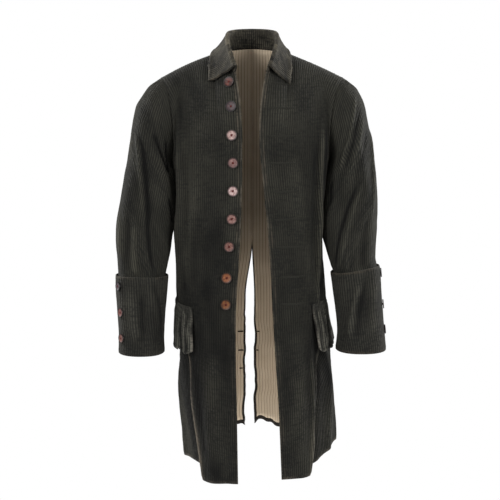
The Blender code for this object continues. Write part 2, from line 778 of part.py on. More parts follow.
def armhole_walls(side, turns):
    """The inward directions of panel and sleeve at the armhole, and the way that it parts."""
    first = sleeve_rings(side, turns, (0.0, 0.35))
    outward = armhole_outward(side, turns)
    onward = armhole_onward(side, turns)
    turn, inward, parting = seam_walls(first[0], onward, outward, unit(first[1] - first[0]))
    sleeve_inward = -outward * np.cos(turn)[:, None] + onward * np.sin(turn)[:, None]
    sleeve_inward = np.where(turn[:, None] < 0, inward, sleeve_inward)
    return inward, sleeve_inward, parting


SLEEVE_TURNS = np.arange(2 * YOKE_ROWS) / (2 * YOKE_ROWS)


def make_sleeves():
    """The sleeves, from the armhole seams to the ends of the cuffs, and the cuffs over them."""
    turns = SLEEVE_TURNS
    for side in (RIGHT, LEFT):
        rows = len(SLEEVES[side])
        rings = sleeve_rings(side, turns, [0, 0.5, *range(1, rows + 1)])
        outward = tube_outward(rings)
        inward = -outward
        sleeve_inward, parting = armhole_walls(side, turns)[1:]
        rings[0] += parting * SEAM_GAP * 1.3
        inward[0] = sleeve_inward
        name = of_side(side)
        wall("sleeve_" + name, rings, rings + inward * CLOTH, "corduroy", closed=True)
        first = CUFF_FIRST_ROW + 1
        ring, away = rings[first:], outward[first:]
        t = np.linspace(1, 0, len(ring))[:, None, None]
        inner = ring + away * (LAYER_GAP + CUFF_STAND_OFF * ease(t))
        outer = inner + away * CUFF_CLOTH
        wall("cuff_" + name, outer, inner, "cuff_corduroy", closed=True)


def neckline(side, place):
    """The neckline seam of half the collar, and the way off the panels across it."""
    across = NECK_SHARE * np.where(place <= 0.5, place / 0.5, (1 - place) / 0.5)
    behind = (place <= 0.5)[:, None]
    lines = []
    for down in (0.0, 0.02):
        downs = np.full_like(across, down)
        lines.append(
            np.where(behind, *(cloth(side, panel, across, downs) for panel in (BACK, FRONT)))
        )
    along = unit(np.gradient(lines[0], axis=0))
    off = lines[0] - lines[1]
    return lines[0], unit(off - along * (off * along).sum(-1, keepdims=True))


def collar_path(side, place):
    """The fold and free edge of half the collar, at places from the centre back."""
    stations = COLLAR_STATIONS
    mirror = np.array([side, 1, 1])
    fold = np.stack(
        [read(stations, "place", c, place) for c in ("fold_across", "fold_depth", "fold_height")],
        axis=-1,
    )
    edges = []
    for station in stations:
        shift = 1.0 if side == LEFT and station.panel == FRONT else 0.0
        one = np.array([station.edge_across + COLLAR_LEFT_SHIFT[0] * shift])
        two = np.array([station.edge_down + COLLAR_LEFT_SHIFT[1] * shift])
        lifted = normals_of(cloth, side, station.panel, one, two + 0.01)
        point = cloth(side, station.panel, one, two) + lifted * (COLLAR_EDGE_LIFT + COLLAR_CLOTH)
        edges.append(CollarEdge(station.place, *(point[0] * mirror)))
    edge = np.stack([read(edges, "place", c, place) for c in ("x", "y", "z")], axis=-1)
    return fold * mirror, edge * mirror


class CollarEdge(NamedTuple):
    """A point of the collar's free edge."""

    place: float
    x: float
    y: float
    z: float


def make_collar():
    """The collar: a stand that rises from the neckline, a soft fold and a fall over the shoulders."""
    place = np.linspace(0, 1, COLLAR_COLUMNS)
    radius = COLLAR_FOLD_RADIUS
    columns, ways = [], []
    for side in (RIGHT, LEFT):
        seam, off = neckline(side, place)
        fold, edge = collar_path(side, place)
        along = unit(np.gradient(fold, axis=0))
        up = unit(np.array([0, 0, 1.0]) - along * along[:, 2:])
        outward = edge - seam
        outward = unit(outward - along * (outward * along).sum(-1, keepdims=True))
        outward = unit(outward - up * (outward * up).sum(-1, keepdims=True))
        inside = fold - outward * radius
        outside = fold + outward * radius
        bend = (outside + edge) / 2 + (outward + up) * COLLAR_FALL_BEND
        path = [seam, seam * 0.5 + inside * 0.5, inside]
        path += [fold + (up - outward) * radius * 0.707, fold + up * radius]
        path += [fold + (up + outward) * radius * 0.707, outside]
        path += [curve((outside, bend, edge), np.full(COLLAR_COLUMNS, t)) for t in (0.3, 0.6, 0.85, 1)]
        columns.append(np.array(path))
        ways.append(off)
    grid = np.concatenate([columns[0][:, ::-1], columns[1][:, 1:]], axis=1)
    off = np.concatenate([ways[0][::-1], ways[1][1:]])
    along = unit(np.gradient(grid[CROWN_ROW], axis=0))
    outward = unit(np.cross(np.gradient(grid, axis=0), along[None]))
    outer = grid + outward * COLLAR_CLOTH / 2
    inner = grid - outward * COLLAR_CLOTH / 2
    outer[0] = grid[0] + off * SEAM_GAP
    inner[0] = outer[0] - outward[0] * COLLAR_CLOTH
    lack = SEAM_GAP - ((inner[0] - grid[0]) * off).sum(-1, keepdims=True)
    for skin in (outer, inner):
        skin[0] += off * lack.clip(0)
    wall("collar", outer, inner, "collar_corduroy")


def make_flaps():
    """The pocket flaps, from the body's own points moved out."""
    for flap in FLAPS:
        t, down = np.meshgrid(np.linspace(0, 1, FLAP_COLUMNS), np.linspace(0, 1, FLAP_ROWS))
        front = flap.share_front + (flap.low_front - flap.share_front) * down
        share = front + (flap.share_rear - front) * t
        top = flap.drop_top_front + (flap.drop_top_rear - flap.drop_top_front) * t
        scallop = FLAP_SCALLOP_DEPTH * abs(np.sin(math.pi * FLAP_SCALLOPS * t))
        drop = top + (flap.drop_low - FLAP_SCALLOP_DEPTH + scallop - top) * down
        wave = FLAP_WAVE_DEPTH * (1 + np.sin(2 * math.pi * FLAP_WAVES * t + flap.side))
        off = LAYER_GAP + fold_height(flap.side, share, drop).clip(0)
        off = off + FLAP_FLARE * ease(down) + wave * down
        near = body(flap.side, share, drop)
        step = 0.003
        one = body(flap.side, share + step, drop) - body(flap.side, share - step, drop)
        other = body(flap.side, share, drop + step) - body(flap.side, share, drop - step)
        away = -unit(np.cross(one, other)) * flap.side
        near = near + away * off[..., None]
        wall(
            "pocket_flap_" + of_side(flap.side), near + away * FLAP_CLOTH, near, "corduroy"
        )


def make_linings():
    """The back linings, inside each back panel and clear of its edges."""
    for side in (RIGHT, LEFT):
        across, down = panel_grid(side, BACK)
        outer = cloth(side, BACK, across, down)
        inward = -normals_of(cloth, side, BACK, across, down)
        near = (outer + inward * (CLOTH + LAYER_GAP))[:-1, :-2]
        inward = inward[:-1, :-2]
        for grid in (near, inward):
            grid[0] += (grid[1] - grid[0]) * LINING_TOP_INSET
            grid[:, 0] += (grid[:, 1] - grid[:, 0]) * LINING_CENTRE_INSET
        wall(
            "back_lining_" + of_side(side),
            near,
            near + unit(inward) * LINING_CLOTH,
            "striped_lining",
        )


def button(name, centre, outward, radius, finish):
    """A turned sew-through button on a short thread shank, with a raised rim."""
    under, thick = BUTTON_SEAT + BUTTON_SHANK, BUTTON_THICKNESS
    profile = (
        (0.0, BUTTON_SEAT),
        (radius * BUTTON_FOOT, BUTTON_SEAT),
        (radius * BUTTON_FOOT, under),
        (radius * 0.82, under),
        (radius, under + thick * 0.45),
        (radius * 0.93, under + thick),
        (radius * 0.72, under + thick * 0.86),
        (radius * 0.50, under + thick * 0.58),
        (0.0, under + thick * 0.50),
    )
    mesh = bmesh.new()
    points = [mesh.verts.new((r, 0, h)) for r, h in profile]
    edges = [mesh.edges.new(pair) for pair in zip(points, points[1:])]
    bmesh.ops.spin(
        mesh,
        geom=points + edges,
        cent=(0, 0, 0),
        axis=(0, 0, 1),
        angle=2 * math.pi,
        steps=BUTTON_SIDES,
        use_merge=True,
    )
    bmesh.ops.remove_doubles(mesh, verts=mesh.verts[:], dist=1e-6)
    bmesh.ops.recalc_face_normals(mesh, faces=mesh.faces[:])
    piece = finished(name, mesh, finish)
    up = np.array([0, 0, 1.0])
    across = unit(np.cross(up, outward))
    above = np.cross(outward, across)
    for vertex in piece.data.vertices:
        x, y, z = vertex.co
        vertex.co = centre + across * x + above * y + outward * z
    return piece


def seated(carrier, point, outward, radius):
    """A button's centre on the faces of the piece that carries it."""
    mesh = bpy.data.objects[carrier].data
    faces = BVHTree.FromPolygons(
        [v.co for v in mesh.vertices], [tuple(f.vertices) for f in mesh.polygons]
    )
    across = unit(np.cross((0, 0, 1.0), outward))
    above = np.cross(outward, across)
    heights = []
    for share, drop in ((0.0, 0.0), (BUTTON_FOOT, 0.0), (0.7, BUTTON_SHANK), (1.0, BUTTON_SHANK)):
        for k in range(SEAT_SAMPLES):
            angle = 2 * math.pi * k / SEAT_SAMPLES
            aside = (across * math.cos(angle) + above * math.sin(angle)) * radius * share
            start = point + aside + outward * SEAT_RAY
            hit = faces.ray_cast(Vector(start), Vector(-outward), 2 * SEAT_RAY)[0]
            if hit is not None:
                heights.append((np.array(hit) - point) @ outward - drop)
    return point + outward * max(heights)


def make_front_buttons():
    """Nine buttons down the right front's edge."""
    fine_across, fine_down = np.meshgrid(np.linspace(0, 0.45, 91), np.linspace(0, 2, 401))
    surface = cloth(RIGHT, FRONT, fine_across, fine_down)
    for number, (drop, across) in enumerate(FRONT_BUTTONS, 1):
        distance = np.hypot(surface[..., 0] + across, surface[..., 2] + drop)
        nearest = np.unravel_index(distance.argmin(), distance.shape)
        place = np.array([fine_across[nearest]]), np.array([fine_down[nearest]])
        outward = normals_of(cloth, RIGHT, FRONT, *place)[0]
        centre = seated("front_right", surface[nearest], outward, FRONT_BUTTON_RADIUS)
        name = f"button_front_{number}"
        button(name, centre, outward, FRONT_BUTTON_RADIUS, "shell_button")


def make_cuff_buttons():
    """Three buttons on the outer side of each cuff."""
    for side in (RIGHT, LEFT):
        for number, (row, turn) in enumerate(CUFF_BUTTONS[side], 1):
            turns = np.array([turn - 0.01, turn, turn + 0.01])
            rings = sleeve_rings(side, turns, (row - 0.1, row, row + 0.1))
            outward = unit(np.cross(rings[1, 2] - rings[1, 0], rings[2, 1] - rings[0, 1]))
            if outward[0] * side < 0:
                outward = -outward
            carrier = "cuff_" + of_side(side)
            centre = seated(carrier, rings[1, 1], outward, CUFF_BUTTON_RADIUS)
            name = f"button_cuff_{of_side(side)}_{number}"
            button(name, centre, outward, CUFF_BUTTON_RADIUS, "cuff_button")


def main():
    """Makes every piece of the coat."""
    for old in list(bpy.data.objects):
        bpy.data.objects.remove(old, do_unlink=True)
    make_body()
    make_sleeves()
    make_collar()
    make_flaps()
    make_linings()
    make_front_buttons()
    make_cuff_buttons()


main()
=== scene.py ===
"""The dressed corduroy frock coat: its cloth, lining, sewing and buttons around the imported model.

Metres, +Z up. The front faces -Y and the wearer's left is +X. The origin is the middle of the neck
opening. A length down from there is called a drop. A share goes round half the body, from the front
edge (0) over the side (0.5) to the centre back (1).
"""

import logging
import math
from dataclasses import dataclass, field
from enum import IntEnum
from typing import Callable, NamedTuple, Optional, Sequence

import bmesh
import bpy
import numpy as np
from mathutils import Matrix, Vector


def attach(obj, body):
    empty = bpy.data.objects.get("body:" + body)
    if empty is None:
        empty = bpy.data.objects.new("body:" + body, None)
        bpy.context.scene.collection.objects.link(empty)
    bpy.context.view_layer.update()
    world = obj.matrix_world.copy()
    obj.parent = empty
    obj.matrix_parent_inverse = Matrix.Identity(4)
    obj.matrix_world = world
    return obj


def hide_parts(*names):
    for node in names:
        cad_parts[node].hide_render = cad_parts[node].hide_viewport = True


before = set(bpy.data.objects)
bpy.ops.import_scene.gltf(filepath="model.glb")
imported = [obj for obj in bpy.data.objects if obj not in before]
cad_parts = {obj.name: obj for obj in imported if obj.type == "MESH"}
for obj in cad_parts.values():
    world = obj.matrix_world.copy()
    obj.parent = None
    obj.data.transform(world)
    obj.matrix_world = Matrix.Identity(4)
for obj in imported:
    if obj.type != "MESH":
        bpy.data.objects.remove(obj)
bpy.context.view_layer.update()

LOG = logging.getLogger("frock_coat")
Array = np.ndarray


class Side(IntEnum):
    """The wearer's sides, as the sign of X."""

    RIGHT = -1
    LEFT = 1


class Panel(IntEnum):
    """The body's panels, as the sign of Y."""

    FRONT = -1
    BACK = 1


class Level(NamedTuple):
    """The body at one drop: where its front edges, sides, front and back lie."""

    drop: float
    edge_right: float
    edge_left: float
    side_right: float
    side_left: float
    side_depth: float
    front: float
    back: float


class Hem(NamedTuple):
    """The hem's drop at a share round the body, or how far the worn hem hangs below it."""

    share: float
    right: float
    left: float


class SkirtEdge(NamedTuple):
    """How far round the body a front skirt reaches at one drop, as a share."""

    drop: float
    right: float
    left: float


class Fold(NamedTuple):
    """A soft ridge (height over 0) or trough in a body panel, running down the cloth."""

    share_top: float
    share_low: float
    width: float
    height: float
    drop_top: float
    drop_low: float


class SleeveRow(NamedTuple):
    """One slanted ring of a sleeve: its outer and inner points, its centre in Y and half depth."""

    row: float
    outer: float
    outer_drop: float
    inner: float
    inner_drop: float
    centre: float
    depth: float


class Crease(NamedTuple):
    """A soft ridge or trough in a sleeve, from one row and turn to another."""

    row_top: float
    turn_top: float
    row_low: float
    turn_low: float
    width: float
    height: float


class CollarStation(NamedTuple):
    """Half the collar at one place from the centre back (0) to its front end (1)."""

    place: float
    fold_across: float
    fold_depth: float
    fold_height: float
    panel: int
    edge_across: float
    edge_down: float


class CollarEdge(NamedTuple):
    """A point of the collar's free edge."""

    place: float
    x: float
    y: float
    z: float


class Flap(NamedTuple):
    """A pocket flap: its reach round the body and down it."""

    side: int
    share_front: float
    share_rear: float
    low_front: float
    drop_top_front: float
    drop_top_rear: float
    drop_low: float


class Wrinkle(NamedTuple):
    """A finer ridge (height over 0) or trough, from one place on a piece's grain to another."""

    u_top: float
    v_top: float
    u_low: float
    v_low: float
    width: float
    height: float
    bow: float = 0.0


class YokeBend(NamedTuple):
    """How a panel's yoke bends: out from the shoulder, down at the neck and in to the armhole."""

    shoulder_reach: float
    neck_fall: tuple
    neck_spread: float
    turn_in: float


class PleatLightAndWear(NamedTuple):
    """How much a pleat's roll is rubbed, and how much painted shade darkens its front and inside.
    """

    rubbed: float
    dulled: float
    shade: float


class Sheet(NamedTuple):
    """A piece's cut laid flat: its width and length, its area, and how it is held."""

    flat: tuple
    area: float
    held: str = "hung"


def table(kind: type, *rows: tuple) -> tuple:
    """The rows of a table, each as its own kind of tuple."""
    return tuple(kind(*row) for row in rows)


R, L = Side.RIGHT, Side.LEFT

SHEETS = {
    "front_right": Sheet((0.275, 0.990), 0.180),
    "front_left": Sheet((0.265, 0.985), 0.168),
    "back_right": Sheet((0.420, 0.995), 0.275),
    "back_left": Sheet((0.420, 0.995), 0.275),
    "sleeve_right": Sheet((0.420, 0.640), 0.212),
    "sleeve_left": Sheet((0.420, 0.640), 0.206),
    "cuff_right": Sheet((0.350, 0.185), 0.064),
    "cuff_left": Sheet((0.350, 0.195), 0.066),
    "collar": Sheet((0.560, 0.105), 0.044, "folded"),
    "pocket_flap_right": Sheet((0.185, 0.115), 0.018),
    "pocket_flap_left": Sheet((0.160, 0.115), 0.015),
    "back_lining_right": Sheet((0.390, 0.975), 0.228),
    "back_lining_left": Sheet((0.390, 0.975), 0.228),
}
YOKES = {
    Panel.FRONT: YokeBend(0.200, (-0.050, -0.050, -0.120), 0.085, 0.190),
    Panel.BACK: YokeBend(0.270, (0.0, 0.060, -0.130), 0.0425, 0.130),
}
PLEATS = {R: PleatLightAndWear(1.0, 0.55, 1.8), L: PleatLightAndWear(0.1, 0.40, 0.6)}
WRINKLE_STRENGTH = 1.45
WRINKLE_FADE = 0.22
WRINKLES = {
    "front_left": table(
        Wrinkle,
        (0.161, 0.110, 0.116, -0.420, 0.0060, 0.0042, 0.004),
        (0.177, 0.100, 0.131, -0.400, 0.0065, -0.0026, 0.004),
        (0.145, 0.060, 0.104, -0.300, 0.0100, -0.0012, -0.004),
        (0.095, -0.435, 0.075, -0.775, 0.0060, 0.0032, 0.003),
        (0.107, -0.440, 0.087, -0.760, 0.0070, -0.0030, 0.003),
        (0.118, -0.500, 0.099, -0.700, 0.0050, 0.0024),
        (0.050, -0.390, 0.040, -0.620, 0.0150, 0.0012, 0.006),
        (0.150, -0.230, 0.128, -0.350, 0.0060, 0.0016),
        (0.070, 0.020, 0.080, -0.190, 0.0140, 0.0012, 0.008),
        (0.205, 0.060, 0.170, -0.020, 0.0080, -0.0015, 0.006),
        (0.215, -0.010, 0.180, -0.060, 0.0070, -0.0013, -0.004),
    ),
    "front_right": table(
        Wrinkle,
        (0.212, 0.035, 0.200, -0.170, 0.0055, 0.0026),
        (0.199, 0.040, 0.187, -0.150, 0.0060, -0.0026),
        (0.160, 0.150, 0.148, -0.060, 0.0110, -0.0016, 0.005),
        (0.105, -0.040, 0.125, -0.310, 0.0130, 0.0016, 0.007),
        (0.155, -0.180, 0.135, -0.330, 0.0080, -0.0010),
        (0.055, -0.420, 0.036, -0.710, 0.0150, 0.0014, 0.006),
        (0.100, -0.490, 0.072, -0.720, 0.0080, -0.0008, 0.004),
        (0.205, 0.070, 0.175, 0.000, 0.0080, -0.0020, 0.004),
    ),
    "pocket_flap_left": table(
        Wrinkle,
        (0.022, 0.004, 0.030, 0.110, 0.0045, 0.0022, 0.003),
        (0.048, 0.010, 0.044, 0.105, 0.0050, 0.0024, 0.002),
        (0.082, 0.004, 0.088, 0.100, 0.0060, 0.0020, 0.003),
        (0.120, 0.008, 0.114, 0.108, 0.0050, 0.0022, 0.003),
    ),
    "pocket_flap_right": table(
        Wrinkle,
        (0.030, 0.006, 0.026, 0.104, 0.0055, 0.0022, 0.003),
        (0.066, 0.004, 0.074, 0.110, 0.0050, 0.0020, 0.003),
        (0.105, 0.008, 0.098, 0.100, 0.0060, 0.0024, 0.002),
        (0.146, 0.004, 0.152, 0.106, 0.0050, 0.0020, 0.003),
    ),
    "back_left": table(
        Wrinkle,
        (0.235, -0.440, 0.300, -0.775, 0.0080, 0.0042, 0.006),
        (0.258, -0.480, 0.345, -0.770, 0.0080, -0.0030, 0.006),
        (0.100, 0.060, 0.132, -0.210, 0.0140, 0.0018, 0.008),
        (0.168, -0.040, 0.150, -0.300, 0.0100, -0.0022, 0.006),
        (0.190, 0.120, 0.215, -0.040, 0.0110, -0.0020, 0.005),
        (0.062, -0.160, 0.050, -0.410, 0.0160, 0.0014, 0.006),
        (0.118, -0.380, 0.150, -0.740, 0.0130, 0.0024, 0.008),
        (0.190, -0.400, 0.230, -0.760, 0.0110, -0.0024, 0.006),
    ),
    "back_right": table(
        Wrinkle,
        (0.205, -0.430, 0.290, -0.780, 0.0080, 0.0030, 0.006),
        (0.110, 0.040, 0.125, -0.180, 0.0130, 0.0018, -0.006),
        (0.160, -0.060, 0.158, -0.320, 0.0100, -0.0024, 0.006),
        (0.200, 0.110, 0.210, -0.050, 0.0120, -0.0018, 0.004),
        (0.070, -0.130, 0.045, -0.380, 0.0150, 0.0014, -0.005),
        (0.105, -0.410, 0.140, -0.730, 0.0140, 0.0022, 0.008),
        (0.170, -0.420, 0.225, -0.770, 0.0100, -0.0022, 0.005),
    ),
    "sleeve_right": table(
        Wrinkle,
        (0.056, -0.120, 0.116, -0.262, 0.0060, -0.0034, 0.004),
        (0.042, -0.130, 0.098, -0.270, 0.0065, 0.0022, 0.004),
        (0.102, -0.222, 0.121, -0.350, 0.0050, -0.0030, 0.003),
        (0.084, -0.068, 0.141, -0.092, 0.0060, -0.0032, 0.003),
        (0.120, -0.030, 0.139, -0.092, 0.0050, -0.0034),
        (0.146, -0.146, 0.180, -0.176, 0.0055, -0.0032, 0.002),
        (0.082, -0.295, 0.074, -0.440, 0.0060, 0.0028, 0.003),
        (0.066, -0.300, 0.058, -0.425, 0.0070, -0.0016, 0.003),
        (0.030, -0.320, 0.042, -0.430, 0.0080, 0.0018, 0.004),
        (0.010, -0.060, 0.030, -0.200, 0.0100, 0.0016, 0.004),
        (-0.130, -0.190, -0.055, -0.255, 0.0090, 0.0026, 0.006),
        (-0.105, -0.235, -0.045, -0.300, 0.0080, -0.0030, 0.006),
        (-0.165, -0.275, -0.080, -0.350, 0.0080, -0.0026, 0.006),
        (-0.140, -0.250, -0.065, -0.325, 0.0070, 0.0022, 0.006),
        (-0.110, -0.060, -0.090, -0.190, 0.0100, -0.0018, 0.005),
        (-0.060, -0.340, -0.070, -0.440, 0.0090, 0.0020, 0.004),
    ),
    "sleeve_left": table(
        Wrinkle,
        (0.040, -0.045, 0.128, -0.118, 0.0055, 0.0026, 0.005),
        (0.040, -0.075, 0.118, -0.136, 0.0060, -0.0022, 0.005),
        (0.034, -0.100, 0.108, -0.162, 0.0055, 0.0022, 0.005),
        (0.030, -0.130, 0.100, -0.195, 0.0070, -0.0014, 0.005),
        (0.014, -0.125, 0.044, -0.340, 0.0060, 0.0026, 0.004),
        (0.147, -0.100, 0.152, -0.165, 0.0055, -0.0022, 0.003),
        (0.088, -0.195, 0.138, -0.305, 0.0060, -0.0026, 0.004),
        (0.072, -0.210, 0.118, -0.320, 0.0065, 0.0020, 0.004),
        (0.100, -0.315, 0.112, -0.440, 0.0065, 0.0022, 0.003),
        (0.055, -0.300, 0.062, -0.430, 0.0090, -0.0016, 0.004),
        (-0.125, -0.180, -0.050, -0.245, 0.0090, 0.0026, 0.006),
        (-0.100, -0.225, -0.040, -0.290, 0.0080, -0.0030, 0.006),
        (-0.155, -0.262, -0.075, -0.335, 0.0080, -0.0024, 0.006),
        (-0.095, -0.070, -0.080, -0.180, 0.0100, -0.0018, 0.005),
        (-0.070, -0.330, -0.060, -0.430, 0.0090, 0.0020, 0.004),
    ),
    "cuff_right": table(
        Wrinkle,
        (0.114, 0.000, 0.146, -0.170, 0.0055, -0.0018, 0.003),
        (0.062, -0.015, 0.070, -0.150, 0.0090, 0.0018, 0.003),
        (0.088, -0.030, 0.084, -0.160, 0.0060, -0.0014, 0.003),
        (-0.080, -0.010, -0.095, -0.150, 0.0080, -0.0018, 0.003),
    ),
    "cuff_left": table(
        Wrinkle,
        (0.062, -0.010, 0.096, -0.165, 0.0055, -0.0013, 0.003),
        (0.078, -0.020, 0.110, -0.155, 0.0055, 0.0032, 0.003),
        (0.040, -0.020, 0.056, -0.165, 0.0080, 0.0016, 0.003),
        (-0.085, -0.010, -0.090, -0.150, 0.0080, -0.0018, 0.003),
    ),
}

LEVELS = table(
    Level,
    (0.250, 0.0230, 0.0190, 0.182, 0.178, 0.000, 0.128, 0.112),
    (0.330, 0.0240, 0.0270, 0.181, 0.172, 0.000, 0.124, 0.100),
    (0.420, 0.0270, 0.0360, 0.184, 0.165, 0.000, 0.118, 0.090),
    (0.500, 0.0320, 0.0420, 0.180, 0.167, 0.002, 0.124, 0.100),
    (0.580, 0.0370, 0.0460, 0.179, 0.171, 0.004, 0.138, 0.124),
    (0.680, 0.0380, 0.0520, 0.172, 0.177, 0.006, 0.145, 0.150),
    (0.800, 0.0360, 0.0600, 0.172, 0.190, 0.010, 0.153, 0.172),
    (1.000, 0.0330, 0.0690, 0.165, 0.203, 0.020, 0.162, 0.195),
)
HEMS = table(
    Hem,
    (0.00, 0.988, 0.979),
    (0.19, 0.992, 0.981),
    (0.26, 0.988, 0.978),
    (0.33, 0.980, 0.967),
    (0.42, 0.976, 0.953),
    (0.52, 0.978, 0.947),
    (0.75, 0.965, 0.948),
    (1.00, 0.948, 0.942),
)
# How far below that line each side's hem sags, by the share round.
SAGS = table(
    Hem,
    (0.00, 0.0000, 0.0000),
    (0.78, 0.0000, 0.0000),
    (0.86, 0.0020, 0.0080),
    (0.900, 0.0000, 0.0090),
    (0.914, -0.0010, 0.0020),
    (0.935, -0.0010, 0.0010),
    (0.955, -0.0010, -0.0050),
    (0.972, 0.0070, -0.0040),
    (0.990, 0.0090, 0.0080),
    (1.00, 0.0090, 0.0090),
)
SKIRT_EDGES = table(
    SkirtEdge,
    (0.56, 0.500, 0.500),
    (0.58, 0.500, 0.500),
    (0.64, 0.410, 0.400),
    (0.70, 0.310, 0.290),
    (0.80, 0.280, 0.235),
    (0.90, 0.235, 0.190),
    (1.00, 0.192, 0.152),
)
FOLDS = {
    R: table(
        Fold,
        (0.350, 0.365, 0.030, 0.0060, 0.16, 0.60),
        (0.290, 0.300, 0.028, -0.0045, 0.18, 0.58),
        (0.150, 0.120, 0.035, 0.0035, 0.45, 1.10),
        (0.060, 0.050, 0.030, -0.0030, 0.55, 1.10),
        (0.470, 0.480, 0.022, 0.0065, 0.70, 1.10),
        (0.600, 0.600, 0.035, 0.0060, 0.40, 1.10),
        (0.690, 0.700, 0.035, -0.0060, 0.45, 1.10),
        (0.800, 0.810, 0.040, 0.0070, 0.50, 1.10),
    ),
    L: table(
        Fold,
        (0.370, 0.375, 0.026, 0.0070, 0.14, 0.66),
        (0.310, 0.310, 0.026, -0.0050, 0.16, 0.60),
        (0.140, 0.100, 0.035, 0.0035, 0.45, 1.10),
        (0.300, 0.290, 0.022, 0.0085, 0.66, 1.10),
        (0.390, 0.390, 0.024, 0.0080, 0.68, 1.10),
        (0.510, 0.500, 0.028, 0.0070, 0.62, 1.10),
        (0.640, 0.630, 0.036, -0.0060, 0.45, 1.10),
        (0.740, 0.740, 0.036, 0.0065, 0.42, 1.10),
        (0.850, 0.850, 0.036, -0.0050, 0.55, 1.10),
    ),
}
SLEEVES = {
    R: table(
        SleeveRow,
        (1, 0.245, 0.095, 0.1850, 0.258, 0.010, 0.070),
        (2, 0.266, 0.128, 0.1840, 0.272, 0.008, 0.069),
        (3, 0.277, 0.172, 0.1780, 0.290, 0.004, 0.068),
        (4, 0.284, 0.215, 0.1740, 0.312, 0.001, 0.066),
        (5, 0.293, 0.262, 0.1730, 0.338, -0.002, 0.065),
        (6, 0.302, 0.308, 0.1740, 0.367, -0.005, 0.063),
        (7, 0.310, 0.355, 0.1790, 0.398, -0.009, 0.061),
        (8, 0.317, 0.405, 0.1870, 0.432, -0.015, 0.059),
        (9, 0.318, 0.457, 0.1920, 0.470, -0.023, 0.058),
        (10, 0.315, 0.500, 0.1990, 0.504, -0.031, 0.056),
        (11, 0.312, 0.524, 0.2030, 0.526, -0.037, 0.055),
        (12, 0.310, 0.570, 0.2060, 0.570, -0.044, 0.054),
        (13, 0.308, 0.618, 0.2090, 0.618, -0.051, 0.053),
        (14, 0.307, 0.665, 0.2100, 0.665, -0.057, 0.052),
        (15, 0.308, 0.702, 0.2080, 0.702, -0.062, 0.052),
    ),
    L: table(
        SleeveRow,
        (1, 0.244, 0.095, 0.1810, 0.258, 0.010, 0.070),
        (2, 0.259, 0.126, 0.1790, 0.272, 0.008, 0.069),
        (3, 0.269, 0.170, 0.1740, 0.290, 0.004, 0.068),
        (4, 0.279, 0.215, 0.1680, 0.312, 0.001, 0.066),
        (5, 0.286, 0.262, 0.1640, 0.338, -0.002, 0.065),
        (6, 0.291, 0.308, 0.1610, 0.367, -0.005, 0.063),
        (7, 0.293, 0.355, 0.1590, 0.398, -0.009, 0.061),
        (8, 0.292, 0.405, 0.1640, 0.432, -0.016, 0.059),
        (9, 0.289, 0.452, 0.1740, 0.466, -0.025, 0.058),
        (10, 0.288, 0.483, 0.1840, 0.500, -0.033, 0.056),
        (11, 0.290, 0.502, 0.1900, 0.518, -0.038, 0.055),
        (12, 0.294, 0.549, 0.1960, 0.563, -0.046, 0.054),
        (13, 0.298, 0.598, 0.2010, 0.609, -0.054, 0.053),
        (14, 0.303, 0.648, 0.2030, 0.656, -0.061, 0.052),
        (15, 0.308, 0.695, 0.1980, 0.695, -0.066, 0.053),
    ),
}
CREASES = {
    R: table(
        Crease,
        (2.0, 0.20, 9.0, 0.26, 0.035, -0.0060),
        (5.0, 0.13, 15.0, 0.14, 0.050, 0.0045),
        (8.5, 0.24, 15.0, 0.30, 0.035, -0.0050),
        (2.0, 0.30, 5.0, 0.42, 0.035, -0.0055),
        (4.0, 0.72, 12.0, 0.76, 0.045, -0.0055),
        (7.0, 0.62, 10.0, 0.88, 0.040, 0.0040),
    ),
    L: table(
        Crease,
        (2.0, 0.22, 7.0, 0.15, 0.040, 0.0055),
        (3.0, 0.32, 9.0, 0.27, 0.035, -0.0055),
        (7.0, 0.20, 15.0, 0.20, 0.045, -0.0045),
        (4.0, 0.70, 12.0, 0.74, 0.045, -0.0055),
        (7.0, 0.88, 10.0, 0.64, 0.040, 0.0040),
    ),
}
COLLAR_STATIONS = table(
    CollarStation,
    (0.00, 0.000, 0.050, 0.042, Panel.BACK, 0.000, 0.130),
    (0.16, 0.025, 0.046, 0.041, Panel.BACK, 0.130, 0.130),
    (0.32, 0.044, 0.033, 0.038, Panel.BACK, 0.250, 0.105),
    (0.50, 0.056, 0.006, 0.030, Panel.FRONT, 0.305, 0.040),
    (0.66, 0.056, -0.034, 0.009, Panel.FRONT, 0.295, 0.180),
    (0.83, 0.049, -0.073, -0.020, Panel.FRONT, 0.298, 0.300),
    (1.00, 0.039, -0.102, -0.050, Panel.FRONT, 0.290, 0.420),
)
FLAPS = (
    Flap(R, 0.240, 0.560, 0.225, 0.592, 0.584, 0.700),
    Flap(L, 0.240, 0.520, 0.240, 0.586, 0.577, 0.697),
)


def ease(t: Array) -> Array:
    """A smooth step from 0 to 1."""
    t = np.clip(t, 0.0, 1.0)
    return t * t * (3 - 2 * t)


def unit(v: Array) -> Array:
    """Vectors scaled to a length of 1."""
    return v / np.maximum(np.linalg.norm(v, axis=-1, keepdims=True), 1e-12)


def hump(at: Array, centre: Array, width: Array) -> Array:
    """A soft ridge: 1 at its centre, and fading over its width to each side."""
    return np.exp(-(((at - centre) / width) ** 2))


def bridge(start: Array, end: Array, leave: Array, arrive: Array, t: Array) -> Array:
    """A smooth path from start to end, which leaves and arrives in two given directions.

    Args:
        start: Where it starts.
        end: Where it ends.
        leave: Its direction and speed at the start.
        arrive: Its direction and speed at the end.
        t: Places along it, from 0 to 1.

    Returns:
        The points there.
    """
    return (
        start * (1 + 2 * t) * (1 - t) ** 2
        + end * t * t * (3 - 2 * t)
        + leave * t * (1 - t) ** 2
        + arrive * t * t * (t - 1)
    )


